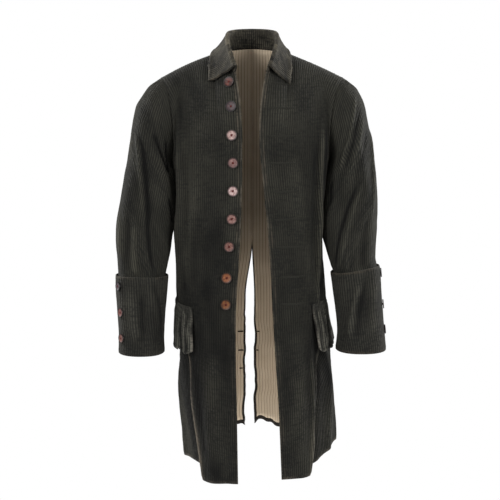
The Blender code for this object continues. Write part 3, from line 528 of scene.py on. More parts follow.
def read(rows: Sequence[NamedTuple], key: str, column: str, at: Array) -> Array:
    """Reads a column of a table at any value of its key, on a smooth curve through the rows.

    Args:
        rows: The table's rows, in the key's order.
        key: The name of the key's column.
        column: The name of the column to read.
        at: The values of the key.

    Returns:
        The column's values there.
    """
    knots = np.array([getattr(row, key) for row in rows], float)
    values = np.array([getattr(row, column) for row in rows], float)
    slopes = np.gradient(values, knots)
    at = np.asarray(at, float)
    i = np.clip(np.searchsorted(knots, at) - 1, 0, len(knots) - 2)
    span = knots[i + 1] - knots[i]
    t = np.clip((at - knots[i]) / span, -0.5, 1.5)
    return bridge(values[i], values[i + 1], slopes[i] * span, slopes[i + 1] * span, t)


def curve(points: Sequence, t: Array) -> Array:
    """A Bezier curve through any number of control points.

    Args:
        points: The control points.
        t: Places along the curve, from 0 to 1.

    Returns:
        The points there.
    """
    points = [np.asarray(p, float) for p in points]
    t = np.asarray(t, float)[..., None]
    while len(points) > 1:
        points = [a * (1 - t) + b * t for a, b in zip(points, points[1:])]
    return points[0]


def unevenness(seed: int, x: Array, y: Array) -> Array:
    """Smooth random values from 0 to 1, which change over about one unit of x and y.

    Args:
        seed: The pattern's own number.
        x: One coordinate.
        y: The other coordinate.

    Returns:
        The values.
    """
    size = 128
    knots = np.random.default_rng(seed).random((size, size))
    x, y = np.broadcast_arrays(np.asarray(x, float), np.asarray(y, float))
    i, j = np.floor(x).astype(int), np.floor(y).astype(int)
    s, t = ease(x - i), ease(y - j)
    near = knots[i % size, j % size] * (1 - t) + knots[i % size, (j + 1) % size] * t
    far = knots[(i + 1) % size, j % size] * (1 - t) + knots[(i + 1) % size, (j + 1) % size] * t
    return near * (1 - s) + far * s


class Roughness(NamedTuple):
    """A random unevenness about 0, broad with a share of fine, over lengths on the grain."""

    seed: int
    across: float
    along: float
    fine_seed: int
    fine_across: float
    fine_along: float
    fine_share: float

    def at(self, seed: int, u: Array, v: Array) -> Array:
        """Reads the unevenness.

        Args:
            seed: The piece's own number.
            u: The distance across the grain.
            v: The distance along it.

        Returns:
            The values.
        """
        broad = unevenness(seed + self.seed, u / self.across, v / self.along) - 0.5
        fine = unevenness(seed + self.fine_seed, u / self.fine_across, v / self.fine_along) - 0.5
        return broad + self.fine_share * fine


@dataclass(frozen=True)
class BodyForm:
    """The worn form of the coat's body: every point of its four panels."""

    underarm: float = 0.250
    power: float = 0.85
    arc_samples: int = 33
    neck_share: float = 0.22
    side_neck: tuple = (0.070, 0.004, -0.009)
    bend_right: tuple = (0.148, 0.004, -0.031)
    bend_left: tuple = (0.148, 0.004, -0.036)
    shoulder_tip: tuple = (0.217, 0.006, -0.072)
    back_neck: tuple = (0.0, 0.066, 0.004)
    back_neck_bend: tuple = (0.045, 0.064, 0.004)
    front_neck_right: tuple = (0.0385, -0.098, -0.062)
    front_neck_left: tuple = (0.0315, -0.098, -0.060)
    front_neck_bend: tuple = (0.064, -0.068, -0.042)
    neck_spread_width: float = 0.18
    chest_reach: float = 0.150
    seam_pull: float = 0.105
    seam_end: float = 1.25
    outer_from: float = 0.45
    armhole_from: float = 0.74
    armhole_out: float = 0.020
    armhole_fall: float = -0.070
    vent_top: float = 0.47
    vent_full: float = 0.60
    vent_right: float = 0.018
    vent_left: float = 0.0055
    back_arc: float = 0.28
    pleat_top: float = 0.58
    pleat_full: float = 0.66
    underlap: float = 0.055
    underlap_run: float = 0.04
    pleat_depth: float = 0.0135
    pleat_depth_low: float = 0.048
    pleat_rise: float = 0.085
    pleat_rise_low: float = 0.360
    vent_wave: float = 0.0055
    vent_waves: Roughness = Roughness(31, 1.0, 0.034, 35, 1.0, 0.013, 0.6)
    vent_wave_width: float = 0.08
    fold_fade: float = 0.10
    edge_roll: float = 0.0070
    edge_roll_share: float = 0.10

    def named(self, side: Side) -> str:
        """The name of a side's columns in the tables."""
        return "right" if side == R else "left"

    def quarter(self, share: Array, start: Array, half: Array, depth: Array) -> tuple:
        """Places on a rounded quarter, at a share of its length.

        Args:
            share: The shares, from 0 at the start to 1 at the side.
            start: The angle at which the quarter starts.
            half: Its half width.
            depth: Its depth.

        Returns:
            The two coordinates of the places.
        """
        steps = np.linspace(0, 1, self.arc_samples)
        angles = start[..., None] + (math.pi / 2 - start[..., None]) * steps
        x = half[..., None] * np.sin(angles) ** self.power
        y = depth[..., None] * np.cos(angles).clip(0) ** self.power
        lengths = np.cumsum(np.hypot(np.diff(x, axis=-1), np.diff(y, axis=-1)), axis=-1)
        lengths = np.concatenate([np.zeros_like(lengths[..., :1]), lengths], axis=-1)
        wanted = np.clip(share, 0, 1)[..., None] * lengths[..., -1:]
        i = np.clip((lengths < wanted).sum(-1, keepdims=True) - 1, 0, self.arc_samples - 2)
        low = np.take_along_axis(lengths, i, -1)
        high = np.take_along_axis(lengths, i + 1, -1)
        t = (wanted - low) / np.maximum(high - low, 1e-12)
        first, second = np.take_along_axis(angles, i, -1), np.take_along_axis(angles, i + 1, -1)
        angle = (first * (1 - t) + second * t)[..., 0]
        return half * np.sin(angle) ** self.power, depth * np.cos(angle).clip(0) ** self.power

    def body(self, side: Side, share: Array, drop: Array) -> Array:
        """Points of the plain body at shares and drops.

        Args:
            side: The wearer's side.
            share: Shares of the way round from the front edge.
            drop: Drops below the neck opening.

        Returns:
            The points.
        """
        share, drop = np.broadcast_arrays(np.asarray(share, float), np.asarray(drop, float))
        name = self.named(side)
        edge = read(LEVELS, "drop", "edge_" + name, drop)
        half = read(LEVELS, "drop", "side_" + name, drop)
        middle = read(LEVELS, "drop", "side_depth", drop)
        front = read(LEVELS, "drop", "front", drop) + middle
        back = read(LEVELS, "drop", "back", drop) - middle
        start = np.arcsin((edge / half) ** (1 / self.power))
        x, y = np.empty(share.shape), np.empty(share.shape)
        fore = share <= 0.5
        rear = ~fore
        if fore.any():
            x[fore], y[fore] = self.quarter(2 * share[fore], start[fore], half[fore], front[fore])
        if rear.any():
            none = np.zeros_like(start[rear])
            x[rear], y[rear] = self.quarter(2 * (1 - share[rear]), none, half[rear], back[rear])
        y = middle + np.where(fore, -y, y)
        return np.stack([side * x, y, -drop], axis=-1)

    def top_edge(self, side: Side, panel: Panel, across: Array) -> Array:
        """The neckline and shoulder seam of a panel, from its centre (0) to the armhole (1).

        Args:
            side: The wearer's side.
            panel: The front or the back panel.
            across: Places across the panel, from its centre edge (0) to its side (1).

        Returns:
            The points.
        """
        if panel == Panel.FRONT:
            first = self.front_neck_right if side == R else self.front_neck_left
            neck = (first, self.front_neck_bend, self.side_neck)
        else:
            neck = (self.back_neck, self.back_neck_bend, self.side_neck)
        round_neck = curve(neck, np.clip(across / self.neck_share, 0, 1))
        along = np.clip((across - self.neck_share) / (1 - self.neck_share), 0, 1.05)
        bend = self.bend_right if side == R else self.bend_left
        shoulder = curve((self.side_neck, bend, self.shoulder_tip), along)
        on_neck = (across < self.neck_share)[..., None]
        return np.where(on_neck, round_neck, shoulder) * np.array([side, 1, 1])

    def yoke(self, side: Side, panel: Panel, across: Array, down: Array) -> Array:
        """Points of a panel above the underarm: down 0 at its top edge and 1 at the underarm.

        Args:
            side: The wearer's side.
            panel: The front or the back panel.
            across: Places across the panel, from its centre edge (0) to its side (1).
            down: Places from the top edge (0) to the underarm (1).

        Returns:
            The points.
        """
        bend, mirror = YOKES[panel], np.array([side, 1, 1])
        share = self.even_share(panel, across)
        top = self.top_edge(side, panel, across)
        low = self.body(side, share, self.underarm)
        step = 0.002
        slope = self.body(side, share, self.underarm + step)
        slope = slope - self.body(side, share, self.underarm - step)
        at_neck = ease(1 - across / self.neck_share)[..., None]
        outward = ease((across - self.outer_from) / (1 - self.outer_from))[..., None]
        seam = unit(np.array(self.side_neck) - np.array(self.shoulder_tip))
        level = np.array([0, panel * self.chest_reach, 0]) * (1 - outward)
        shoulder = np.array([0, panel * bend.shoulder_reach, 0]) + self.seam_pull * seam
        level = level + outward * shoulder
        beside_neck = hump(across, self.neck_share, self.neck_spread_width)[..., None]
        sideways = beside_neck * np.array([bend.neck_spread, 0, 0])
        falling = np.array(bend.neck_fall)
        leave = (level * (1 - at_neck) + falling * at_neck + sideways) * mirror
        loop = np.array([self.armhole_out, -panel * bend.turn_in, self.armhole_fall]) * mirror
        meet = ease((across - self.armhole_from) / (1 - self.armhole_from))[..., None]
        arrive = slope / (2 * step) * self.underarm * (1 - meet) + loop * meet
        return bridge(top, low, leave, arrive, down[..., None])

    def even_share(self, panel: Panel, across: Array) -> Array:
        """The share round the body of a place across a panel that meets the other at the side."""
        return across / 2 if panel == Panel.FRONT else 1 - across / 2

    def hem_drop(self, side: Side, share: Array) -> Array:
        """The drop of the hem at a share of the way round.

        Args:
            side: The wearer's side.
            share: Shares of the way round from the front edge.

        Returns:
            The drops.
        """
        share = np.clip(share, 0, 1)
        sag = read(SAGS, "share", self.named(side), share)
        return read(HEMS, "share", self.named(side), share) + sag

    def skirt_reach(self, side: Side, drop: Array) -> Array:
        """How far round the front skirt reaches."""
        drop = np.clip(drop, SKIRT_EDGES[0].drop, SKIRT_EDGES[-1].drop)
        return np.minimum(read(SKIRT_EDGES, "drop", self.named(side), drop), 0.5)

    def vent_width(self, side: Side, drop: Array) -> Array:
        """Half the open back vent: each side's distance from the centre line."""
        full = self.vent_right if side == R else self.vent_left
        return full * ease((drop - self.vent_top) / (self.vent_full - self.vent_top))

    def skirt_share(self, side: Side, panel: Panel, across: Array, drop: Array) -> Array:
        """The share round the body of a place across a panel, below the underarm.

        Args:
            side: The wearer's side.
            panel: The front or the back panel.
            across: Places across the panel, from its centre edge (0) to its side (1).
            drop: Drops below the neck opening.

        Returns:
            The shares.
        """
        reach = self.skirt_reach(side, drop)
        if panel == Panel.FRONT:
            return across * reach
        first = reach - self.underlap * ease((drop - self.pleat_full) / self.underlap_run)
        last = 1 - self.vent_width(side, drop) / self.back_arc / 2
        return last - (last - first) * across

    def fold_height(self, side: Side, share: Array, drop: Array) -> Array:
        """How far the folds lift the cloth.

        Args:
            side: The wearer's side.
            share: Shares of the way round from the front edge.
            drop: Drops below the neck opening.

        Returns:
            The heights off the plain body.
        """
        total = np.zeros(np.broadcast(share, drop).shape)
        for fold in FOLDS[side]:
            below, above = drop - fold.drop_top, fold.drop_low - drop
            t = np.clip(below / (fold.drop_low - fold.drop_top), 0, 1)
            centre = fold.share_top + (fold.share_low - fold.share_top) * t
            fade = ease(below / self.fold_fade) * ease(above / self.fold_fade)
            total += fold.height * fade * hump(share, centre, fold.width)
        return total

    def plain(self, side: Side, panel: Panel, across: Array, down: Array) -> tuple:
        """A panel before its folds: down 0 to 1 is the yoke, 1 to 2 runs on to the hem.

        Args:
            side: The wearer's side.
            panel: Front or back.
            across: Places from the centre line (0) to the armhole or side (1).
            down: Places down the panel.

        Returns:
            The points, their shares round the body and their drops.
        """
        across, down = np.broadcast_arrays(np.asarray(across, float), np.asarray(down, float))
        rough = self.even_share(panel, across)
        drop = self.underarm + (self.hem_drop(side, rough) - self.underarm) * (down - 1)
        share = self.skirt_share(side, panel, across, drop)
        drop = self.underarm + (self.hem_drop(side, share) - self.underarm) * (down - 1)
        share = self.skirt_share(side, panel, across, drop)
        made, early = np.empty((*across.shape, 3)), down < 1
        if early.any():
            high = np.maximum(down[early], -0.1)
            made[early] = self.yoke(side, panel, across[early], high)
        if not early.all():
            made[~early] = self.body(side, share[~early], drop[~early])
        return made, share, drop

    def plain_points(self, side: Side, panel: Panel, across: Array, down: Array) -> Array:
        """Only the points of the plain panel."""
        return self.plain(side, panel, across, down)[0]

    def normals(
        self, points: Callable, side: Side, panel: Panel, across: Array, down: Array
    ) -> Array:
        """Outward directions of a surface, from its points a small step away each way.

        Args:
            points: The surface, as a function of side, panel, across and down.
            side: The wearer's side.
            panel: Front or back.
            across: Places across the panel.
            down: Places down the panel.

        Returns:
            The directions.
        """
        step = 0.004
        one = points(side, panel, across + step, down) - points(side, panel, across - step, down)
        two = points(side, panel, across, down + step) - points(side, panel, across, down - step)
        return unit(np.cross(one, two)) * (side * panel)

    def cloth(self, side: Side, panel: Panel, across: Array, down: Array) -> Array:
        """A panel's outer points, with its folds, rolled edge and pleat.

        Args:
            side: The wearer's side.
            panel: The front or the back panel.
            across: Places across the panel, from its centre edge (0) to its side (1).
            down: Places down the panel: 0 at its top edge, 1 at the underarm, 2 at the hem.

        Returns:
            The points.
        """
        base, share, drop = self.plain(side, panel, across, down)
        share = np.where(down < 1, self.even_share(panel, across), share)
        drop = np.where(down < 1, -base[..., 2], drop)
        lift = self.fold_height(side, share, drop)
        depth = ease((drop - self.pleat_top) / (self.pleat_full - self.pleat_top))
        if panel == Panel.FRONT:
            roll = np.clip((across - 1 + self.edge_roll_share) / self.edge_roll_share, 0, 1.1)
            lift = lift - self.edge_roll * depth * roll**2
        else:
            low = ease((drop - self.pleat_full) / (1 - self.pleat_full))
            rise = self.pleat_rise + (self.pleat_rise_low - self.pleat_rise) * low
            sunk = (self.pleat_depth + (self.pleat_depth_low - self.pleat_depth) * low) * depth
            behind = ease((share - self.skirt_reach(side, drop)) / rise)
            lift = np.where(down < 1, lift, lift * behind**depth - sunk * (1 - behind))
        outward = self.normals(self.plain_points, side, panel, across, down)
        return base + outward * lift[..., None]

    def cloth_normals(self, side: Side, panel: Panel, across: Array, down: Array) -> Array:
        """Outward directions of the finished panel."""
        return self.normals(self.cloth, side, panel, across, down)

    def waved(self, side: Side, surface: Array, samples: Array) -> Array:
        """Waves the open vent's edge, which no seam holds straight.

        Args:
            side: The wearer's side.
            surface: A back's points.
            samples: The columns' places across it.

        Returns:
            The points.
        """
        drop = -surface[:, 0, 2]
        wave = self.vent_waves.at(int(side), 0.5, drop)
        wave = self.vent_wave * wave * ease((drop - self.vent_full) / 0.08)
        made = surface.copy()
        made[..., 0] += side * wave[:, None] * (1 - ease(samples / self.vent_wave_width))
        return made

    def armhole(self, side: Side, turns: Array) -> Array:
        """The armhole seam: turn 0 at the shoulder, forward to 0.5 at the underarm, up the back.

        Args:
            side: The wearer's side.
            turns: Turns round the seam.

        Returns:
            The points.
        """
        turns = np.asarray(turns, float) % 1.0
        one = np.ones_like(turns)
        forward = self.cloth(side, Panel.FRONT, one, np.clip(2 * turns, 0, 1))
        behind = self.cloth(side, Panel.BACK, one, np.clip(2 - 2 * turns, 0, 1))
        return np.where((turns <= 0.5)[..., None], forward, behind)

    def neckline(self, side: Side, place: Array) -> tuple:
        """The neckline seam of half the collar, and the way off the panels across it.

        Args:
            side: The wearer's side.
            place: Places along the seam, from the centre back (0) to the front.

        Returns:
            The points, and the directions off the panels there.
        """
        across = self.neck_share * np.where(place <= 0.5, place / 0.5, (1 - place) / 0.5)
        behind = (place <= 0.5)[:, None]
        lines = []
        for down in (0.0, 0.02):
            downs = np.full_like(across, down)
            both = (self.cloth(side, p, across, downs) for p in (Panel.BACK, Panel.FRONT))
            lines.append(np.where(behind, *both))
        along = unit(np.gradient(lines[0], axis=0))
        off = lines[0] - lines[1]
        return lines[0], unit(off - along * (off * along).sum(-1, keepdims=True))


@dataclass(frozen=True)
class SleeveForm:
    """The worn form of the sleeves, set into the body's armholes."""

    body: BodyForm
    clearance: float = 0.0013
    inner_roundness: float = 0.75
    crease_fade: float = 0.25

    def crease_height(self, side: Side, row: Array, turns: Array) -> Array:
        """How far the creases lift a sleeve's cloth.

        Args:
            side: The wearer's side.
            row: Places along the sleeve, in rows of its table.
            turns: Turns round the sleeve, from its outer line (0) forward.

        Returns:
            The heights off the plain sleeve.
        """
        total = np.zeros(np.broadcast(row, turns).shape)
        for crease in CREASES[side]:
            t = (row - crease.row_top) / (crease.row_low - crease.row_top)
            fade = ease(t / self.crease_fade) * ease((1 - t) / self.crease_fade)
            centre = crease.turn_top + (crease.turn_low - crease.turn_top) * np.clip(t, 0, 1)
            away = (turns - centre + 0.5) % 1.0 - 0.5
            total = total + crease.height * fade * hump(away, 0.0, crease.width)
        return total

    def clear_of_body(self, side: Side, points: Array) -> Array:
        """Moves a sleeve's points out to where the body's side just leaves them room.

        Args:
            side: The wearer's side.
            points: The points.

        Returns:
            The moved points.
        """
        name = self.body.named(side)
        drop = np.maximum(-points[..., 2], self.body.underarm)
        half = read(LEVELS, "drop", "side_" + name, drop)
        middle = read(LEVELS, "drop", "side_depth", drop)
        y = points[..., 1] - middle
        front = read(LEVELS, "drop", "front", drop) + middle
        back = read(LEVELS, "drop", "back", drop) - middle
        reach = np.where(y < 0, front, back)
        power = 2 / self.body.power
        inside = (1 - np.clip(abs(y) / reach, 0, 1) ** power) ** (1 / power)
        least = half * inside + self.clearance
        below = -points[..., 2] > self.body.underarm
        x = points[..., 0] * side
        x = np.where(below, np.maximum(x, least), x)
        return np.stack([x * side, points[..., 1], points[..., 2]], axis=-1)

    def ring(self, side: Side, rows: Array, turns: Array) -> Array:
        """Points of the sleeve from its first ring on.

        Args:
            side: The wearer's side.
            rows: Places along the sleeve, in rows of its table.
            turns: Turns round the sleeve, from its outer line (0) forward.

        Returns:
            The points.
        """
        rows, turns = np.broadcast_arrays(np.asarray(rows, float), np.asarray(turns, float))
        value = {c: read(SLEEVES[side], "row", c, rows) for c in SleeveRow._fields[1:]}
        outer = np.stack([value["outer"], value["centre"], -value["outer_drop"]], axis=-1)
        inner = np.stack([value["inner"], value["centre"], -value["inner_drop"]], axis=-1)
        middle, reach = (outer + inner) / 2, (outer - inner) / 2
        angle = 2 * math.pi * turns
        across = np.cos(angle)
        across = np.where(across < 0, -(abs(across) ** self.inner_roundness), across)
        ring = middle + across[..., None] * reach
        ring[..., 1] -= value["depth"] * np.sin(angle)
        mirror = np.array([side, 1, 1])
        ring = ring * mirror
        spread = unit(ring - middle * mirror)
        ring = ring + spread * self.crease_height(side, rows, turns)[..., None]
        return self.clear_of_body(side, ring)

    def points(self, side: Side, rows: Array, turns: Array) -> Array:
        """Outer points of a sleeve at whole or part rows, row 0 being the armhole seam.

        Args:
            side: The wearer's side.
            rows: Places along the sleeve, in rows of its table.
            turns: Turns round the sleeve, from its outer line (0) forward.

        Returns:
            The points.
        """
        rows, turns = np.broadcast_arrays(np.asarray(rows, float), np.asarray(turns, float))
        made = self.ring(side, np.maximum(rows, 1), turns)
        early = rows < 1
        if early.any():
            t, round_it = rows[early][:, None], turns[early]
            seam = self.body.armhole(side, round_it)
            first = made[early]
            onward = (self.ring(side, np.full_like(round_it, 1.5), round_it) - first) * 2
            straight = seam * (1 - t) + first * t
            bowed = bridge(seam, first, first - seam, onward, t)
            outer = ease((np.cos(2 * math.pi * round_it) + 0.2) / 0.6)[:, None]
            made[early] = straight * (1 - outer) + bowed * outer
        return made


@dataclass
class Cut:
    """A piece of cloth on a grid whose columns follow its grain, cut off at the piece's edges."""

    params: Array
    grain: Array
    low: Array
    high: Array

    def from_first(self) -> Array:
        """How far each point lies from its row's first column."""
        u = self.grain[..., 0]
        return u - np.take_along_axis(u, self.low[:, None], 1)

    def from_last(self) -> Array:
        """How far each point lies from its row's last column."""
        u = self.grain[..., 0]
        return np.take_along_axis(u, self.high[:, None], 1) - u

    def from_edges(self) -> Array:
        """How far each point lies from the nearer end of its row."""
        return np.minimum(self.from_first(), self.from_last())

    def from_ends(self) -> Array:
        """How far each point lies from the nearer of the first and last rows."""
        v = self.grain[..., 1]
        return np.minimum(abs(v - v[:1]), abs(v - v[-1:]))

    def inset(self) -> Array:
        """How far each point lies from the nearest edge of the cut."""
        return np.minimum(self.from_edges(), self.from_ends())


def cut_on_grain(samples: Array, u_rows: Array, v_rows: Array, step: float) -> Cut:
    """Lays columns along the grain, a step apart, and cuts them off at each row's two ends.

    Args:
        samples: The surface's own coordinate at the sampled columns.
        u_rows: The distance across the grain at each row and sample.
        v_rows: The distance along the grain at each row and sample.
        step: The distance between columns.

    Returns:
        The cut.
    """
    first, last = u_rows[:, 0], u_rows[:, -1]
    columns = np.arange(math.floor(first.min() / step), math.ceil(last.max() / step) + 1)
    wanted = np.broadcast_to(columns * step, (len(u_rows), len(columns)))
    snap = 0.3 * step
    u = np.where(wanted > last[:, None] - snap, last[:, None], wanted)
    u = np.where(wanted < first[:, None] + snap, first[:, None], u)
    params = np.stack([np.interp(u[r], u_rows[r], samples) for r in range(len(u))])
    v = np.stack([np.interp(u[r], u_rows[r], v_rows[r]) for r in range(len(u))])
    low = (u <= first[:, None]).sum(1) - 1
    high = len(columns) - (u >= last[:, None]).sum(1)
    return Cut(params, np.stack([u, v], axis=-1), low, high)


def whole_cut(outer: Array, start: float = 0.0) -> Cut:
    """A grid that is used whole, with its grain measured along its rows and columns.

    Args:
        outer: The points.
        start: The distance across the grain at the first column.

    Returns:
        The cut.
    """
    rows, columns = outer.shape[:2]
    u, v = lengths_along(outer, 1) + start, lengths_along(outer, 0)
    params = np.broadcast_to(np.linspace(0, 1, columns), (rows, columns))
    low, high = np.zeros(rows, int), np.full(rows, columns - 1)
    return Cut(params, np.stack([u, v], axis=-1), low, high)


def lengths_along(points: Array, axis: int) -> Array:
    """The distance run along one axis of a grid of points.

    Args:
        points: The grid of points.
        axis: The axis of the grid to run along.

    Returns:
        The distance of each point from the first.
    """
    steps = np.linalg.norm(np.diff(points, axis=axis), axis=-1)
    return np.concatenate(
        [np.zeros_like(steps.take([0], axis=axis)), np.cumsum(steps, axis=axis)], axis=axis
    )


def seamed(surface: Array, samples: Array, closed: Array) -> Array:
    """Draws the first columns of a back's rows in to the centre line.

    Args:
        surface: The back's points.
        samples: The columns' places across it.
        closed: How far each row is drawn in, from 0 to 1.

    Returns:
        The points.
    """
    made = surface.copy()
    made[..., 0] -= surface[:, :1, 0] * closed[:, None] * (1 - ease(samples / 0.25))
    return made


def facing(grid: Array, closed: bool = False) -> Array:
    """Directions square to a grid of points, over its columns and down its rows.

    Args:
        grid: The points.
        closed: Whether the last column lies on the first one.

    Returns:
        The directions.
    """
    wide = grid
    if closed:
        wide = np.concatenate([grid[:, -2:-1], grid, grid[:, 1:2]], axis=1)
    across, down = np.gradient(wide, axis=1), np.gradient(wide, axis=0)
    made = unit(np.cross(across, down))
    return made[:, 1:-1] if closed else made


def spread(samples: Array, grid: Array, params: Array) -> Array:
    """Reads sampled rows of vectors at other places, on a smooth curve through the samples.

    Args:
        samples: The samples' places, evenly spaced.
        grid: The vectors at each row and sample.
        params: The places to read.

    Returns:
        The vectors there.
    """
    first = 2 * grid[:, :1] - grid[:, 1:2]
    last = 2 * grid[:, -1:] - grid[:, -2:-1]
    grid = np.concatenate([first, grid, last], axis=1)
    place = (params - samples[0]) / (samples[1] - samples[0])
    i = np.clip(np.floor(place).astype(int), 0, len(samples) - 2)
    t, rows = (place - i)[..., None], np.arange(len(params))[:, None]
    a, b, c, d = (grid[rows, i + k] for k in range(4))
    bend = (2 * a - 5 * b + 4 * c - d) * t**2 + (3 * b - a - 3 * c + d) * t**3
    return b + ((c - a) * t + bend) / 2


@dataclass
class Shell:
    """A thin closed wall of cloth between an outer and an inner grid of points."""

    name: str
    outer: Array
    inner: Array
    cut: Cut
    tube: bool = False
    rounding: tuple = (0.0, 0.0, 0.0, 0.0)
    wear: Optional[Array] = None
    bloom: Optional[Array] = None
    inner_step: int = 4

    def plain_skin(self, grid: Array) -> Array:
        """Two triangles to each cell of a grid of point numbers."""
        a, b, c, d = grid[:-1, :-1], grid[1:, :-1], grid[1:, 1:], grid[:-1, 1:]
        return np.concatenate([np.stack(t, -1).reshape(-1, 3) for t in ((a, b, c), (a, c, d))])

    def coarse_skin(self, grid: Array) -> Array:
        """A skin of wider cells, whose first and last rows still hold every point.

        Args:
            grid: The point numbers of the grid.

        Returns:
            The faces, three point numbers to each.
        """
        last = grid.shape[1] - 1
        columns = np.unique(np.append(np.arange(0, last, self.inner_step), last))
        first, fine = columns[:-1], np.arange(last)
        cell = np.searchsorted(columns, fine, side="right") - 1
        middle = (first + columns[1:]) // 2
        apex = columns[cell + (fine >= middle[cell])]
        parts = [self.plain_skin(grid[1:-1, columns])]
        for fine_row, wide_row, forward in ((grid[0], grid[1], 1), (grid[-1], grid[-2], -1)):
            fans = np.stack([fine_row[:-1], wide_row[apex], fine_row[1:]], -1)
            fill = np.stack([fine_row[middle], wide_row[first], wide_row[columns[1:]]], -1)
            parts += [fans[:, ::forward], fill[:, ::forward]]
        return np.concatenate(parts)

    def grid(self) -> Array:
        """The point numbers of the grid, with what lies past a row's ends drawn in to them.

        Returns:
            The point numbers, row by row.
        """
        rows, columns = self.outer.shape[:2]
        along = np.clip(np.arange(columns)[None], self.cut.low[:, None], self.cut.high[:, None])
        if self.tube:
            along = np.where(along == self.cut.high[:, None], self.cut.low[:, None], along)
        return np.arange(rows)[:, None] * columns + along

    def rims(self, grid: Array) -> list:
        """The edges of the grid, as rows of point numbers."""
        ends = [grid[0], grid[-1][::-1]]
        return ends if self.tube else ends + [grid[::-1, 0], grid[:, -1]]

    def middles(self) -> Array:
        """The points of a rounded rim, halfway through the wall and a little out from it.

        Returns:
            The points, one for each point of the outer grid.
        """
        rows, columns = self.outer.shape[:2]
        centre = (self.outer + self.inner) / 2
        out = np.zeros_like(centre)
        top, bottom, left, right = self.rounding
        out[0] += top * unit(centre[0] - centre[1])
        out[-1] += bottom * unit(centre[-1] - centre[-2])
        if not self.tube:
            r = np.arange(rows)
            for at, by, share in ((self.cut.low, 1, left), (self.cut.high, -1, right)):
                beside = np.clip(at + by, 0, columns - 1)
                out[r, at] += share * unit(centre[r, at] - centre[r, beside])
        thick = np.linalg.norm(self.outer - self.inner, axis=-1, keepdims=True)
        return centre + out * thick

    def make(self, finishes: Sequence[bpy.types.Material]) -> bpy.types.Object:
        """Makes the wall's object.

        Args:
            finishes: The outer skin's material and the inner skin's.

        Returns:
            The object, riding on the one body.
        """
        grid = self.grid()
        count = self.outer.shape[0] * self.outer.shape[1]
        skin, under = self.plain_skin(grid), self.coarse_skin(grid)
        flat_outer, flat_inner = self.outer.reshape(-1, 3), self.inner.reshape(-1, 3)
        corner = flat_outer[skin]
        facing = np.cross(corner[:, 1] - corner[:, 0], corner[:, 2] - corner[:, 0])
        away = flat_outer[skin[:, 0]] - flat_inner[skin[:, 0]]
        forward = (facing * away).sum() > 0
        if not forward:
            skin, under = skin[:, ::-1], under[:, ::-1]
        parts, slots = [skin, under[:, ::-1] + count], [0, 1]
        for rim in self.rims(grid):
            p, q = rim[:-1], rim[1:]
            for low, high in ((0, 2 * count), (2 * count, count)):
                strip = np.concatenate(
                    [
                        np.stack([p + low, q + low, q + high], -1),
                        np.stack([p + low, q + high, p + high], -1),
                    ]
                )
                parts.append(strip if forward else strip[:, ::-1])
                slots.append(0)
        faces = np.concatenate(parts)
        slot = np.concatenate([np.full(len(p), s) for p, s in zip(parts, slots)])
        same = (faces[:, 0] == faces[:, 1]) | (faces[:, 1] == faces[:, 2])
        same |= faces[:, 0] == faces[:, 2]
        faces, slot = faces[~same], slot[~same]
        points = np.concatenate([flat_outer, flat_inner, self.middles().reshape(-1, 3)])
        grain = np.tile(self.cut.grain.reshape(-1, 2), (3, 1))
        used, numbers = np.unique(faces, return_inverse=True)
        faces = numbers.reshape(faces.shape)
        mesh = bpy.data.meshes.new(self.name)
        mesh.from_pydata(points[used].tolist(), [], faces.tolist())
        mesh.uv_layers.new(name="grain").data.foreach_set("uv", grain[used][faces].ravel())
        # wear is real rubbing; the second attribute carries painted light and shade
        for title, value in (("wear", self.wear), ("bloom", self.bloom)):
            value = np.zeros(count) if value is None else value.reshape(-1)
            mesh.attributes.new(title, "FLOAT", "POINT").data.foreach_set(
                "value", np.tile(value, 3)[used].astype(np.float32)
            )
        for finish in finishes:
            mesh.materials.append(finish)
        if len(finishes) > 1:
            mesh.polygons.foreach_set("material_index", slot.astype(np.int32))
        mesh.shade_smooth()
        mesh.update()
        piece = bpy.data.objects.new(self.name, mesh)
        bpy.context.scene.collection.objects.link(piece)
        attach(piece, "root")
        return piece


def dressed(
    shell: Shell, node: str, finishes: Sequence[bpy.types.Material]
) -> bpy.types.Object:
    """Makes a piece of cloth in the place of its CAD node.

    Args:
        shell: The cloth's wall.
        node: The CAD node that it replaces.
        finishes: The materials of its outer and inner skins.

    Returns:
        The object.
    """
    piece, sheet = shell.make(finishes), SHEETS[node]
    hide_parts(node)
    return piece


def linear(colour: str) -> tuple:
    """An sRGB colour written in hex, as linear red, green, blue and alpha."""
    parts = [int(colour[i : i + 2], 16) / 255 for i in (1, 3, 5)]
    return (*(c / 12.92 if c <= 0.04045 else ((c + 0.055) / 1.055) ** 2.4 for c in parts), 1.0)


def add_node(
    tree: bpy.types.NodeTree, kind: str, inputs: Optional[dict] = None, **settings
) -> bpy.types.Node:
    """Adds a shader node with its settings, values and links.

    Args:
        tree: The node tree.
        kind: The node's type, without the words ShaderNode.
        inputs: A value, an output socket, or a node whose first output is linked, for each
            input by name or number.
        settings: The node's own settings.

    Returns:
        The node.
    """
    node = tree.nodes.new("ShaderNode" + kind)
    for name, value in settings.items():
        setattr(node, name, value)
    for key, value in (inputs or {}).items():
        if isinstance(value, bpy.types.Node):
            value = value.outputs[0]
        if isinstance(value, bpy.types.NodeSocket):
            tree.links.new(value, node.inputs[key])
        else:
            node.inputs[key].default_value = value
    return node


def blank_material(name: str) -> tuple:
    """A new material, and its empty node tree.

    Args:
        name: The material's name.

    Returns:
        The material and its tree.
    """
    made = bpy.data.materials.new(name)
    made.use_nodes = True
    made.node_tree.nodes.clear()
    return made, made.node_tree


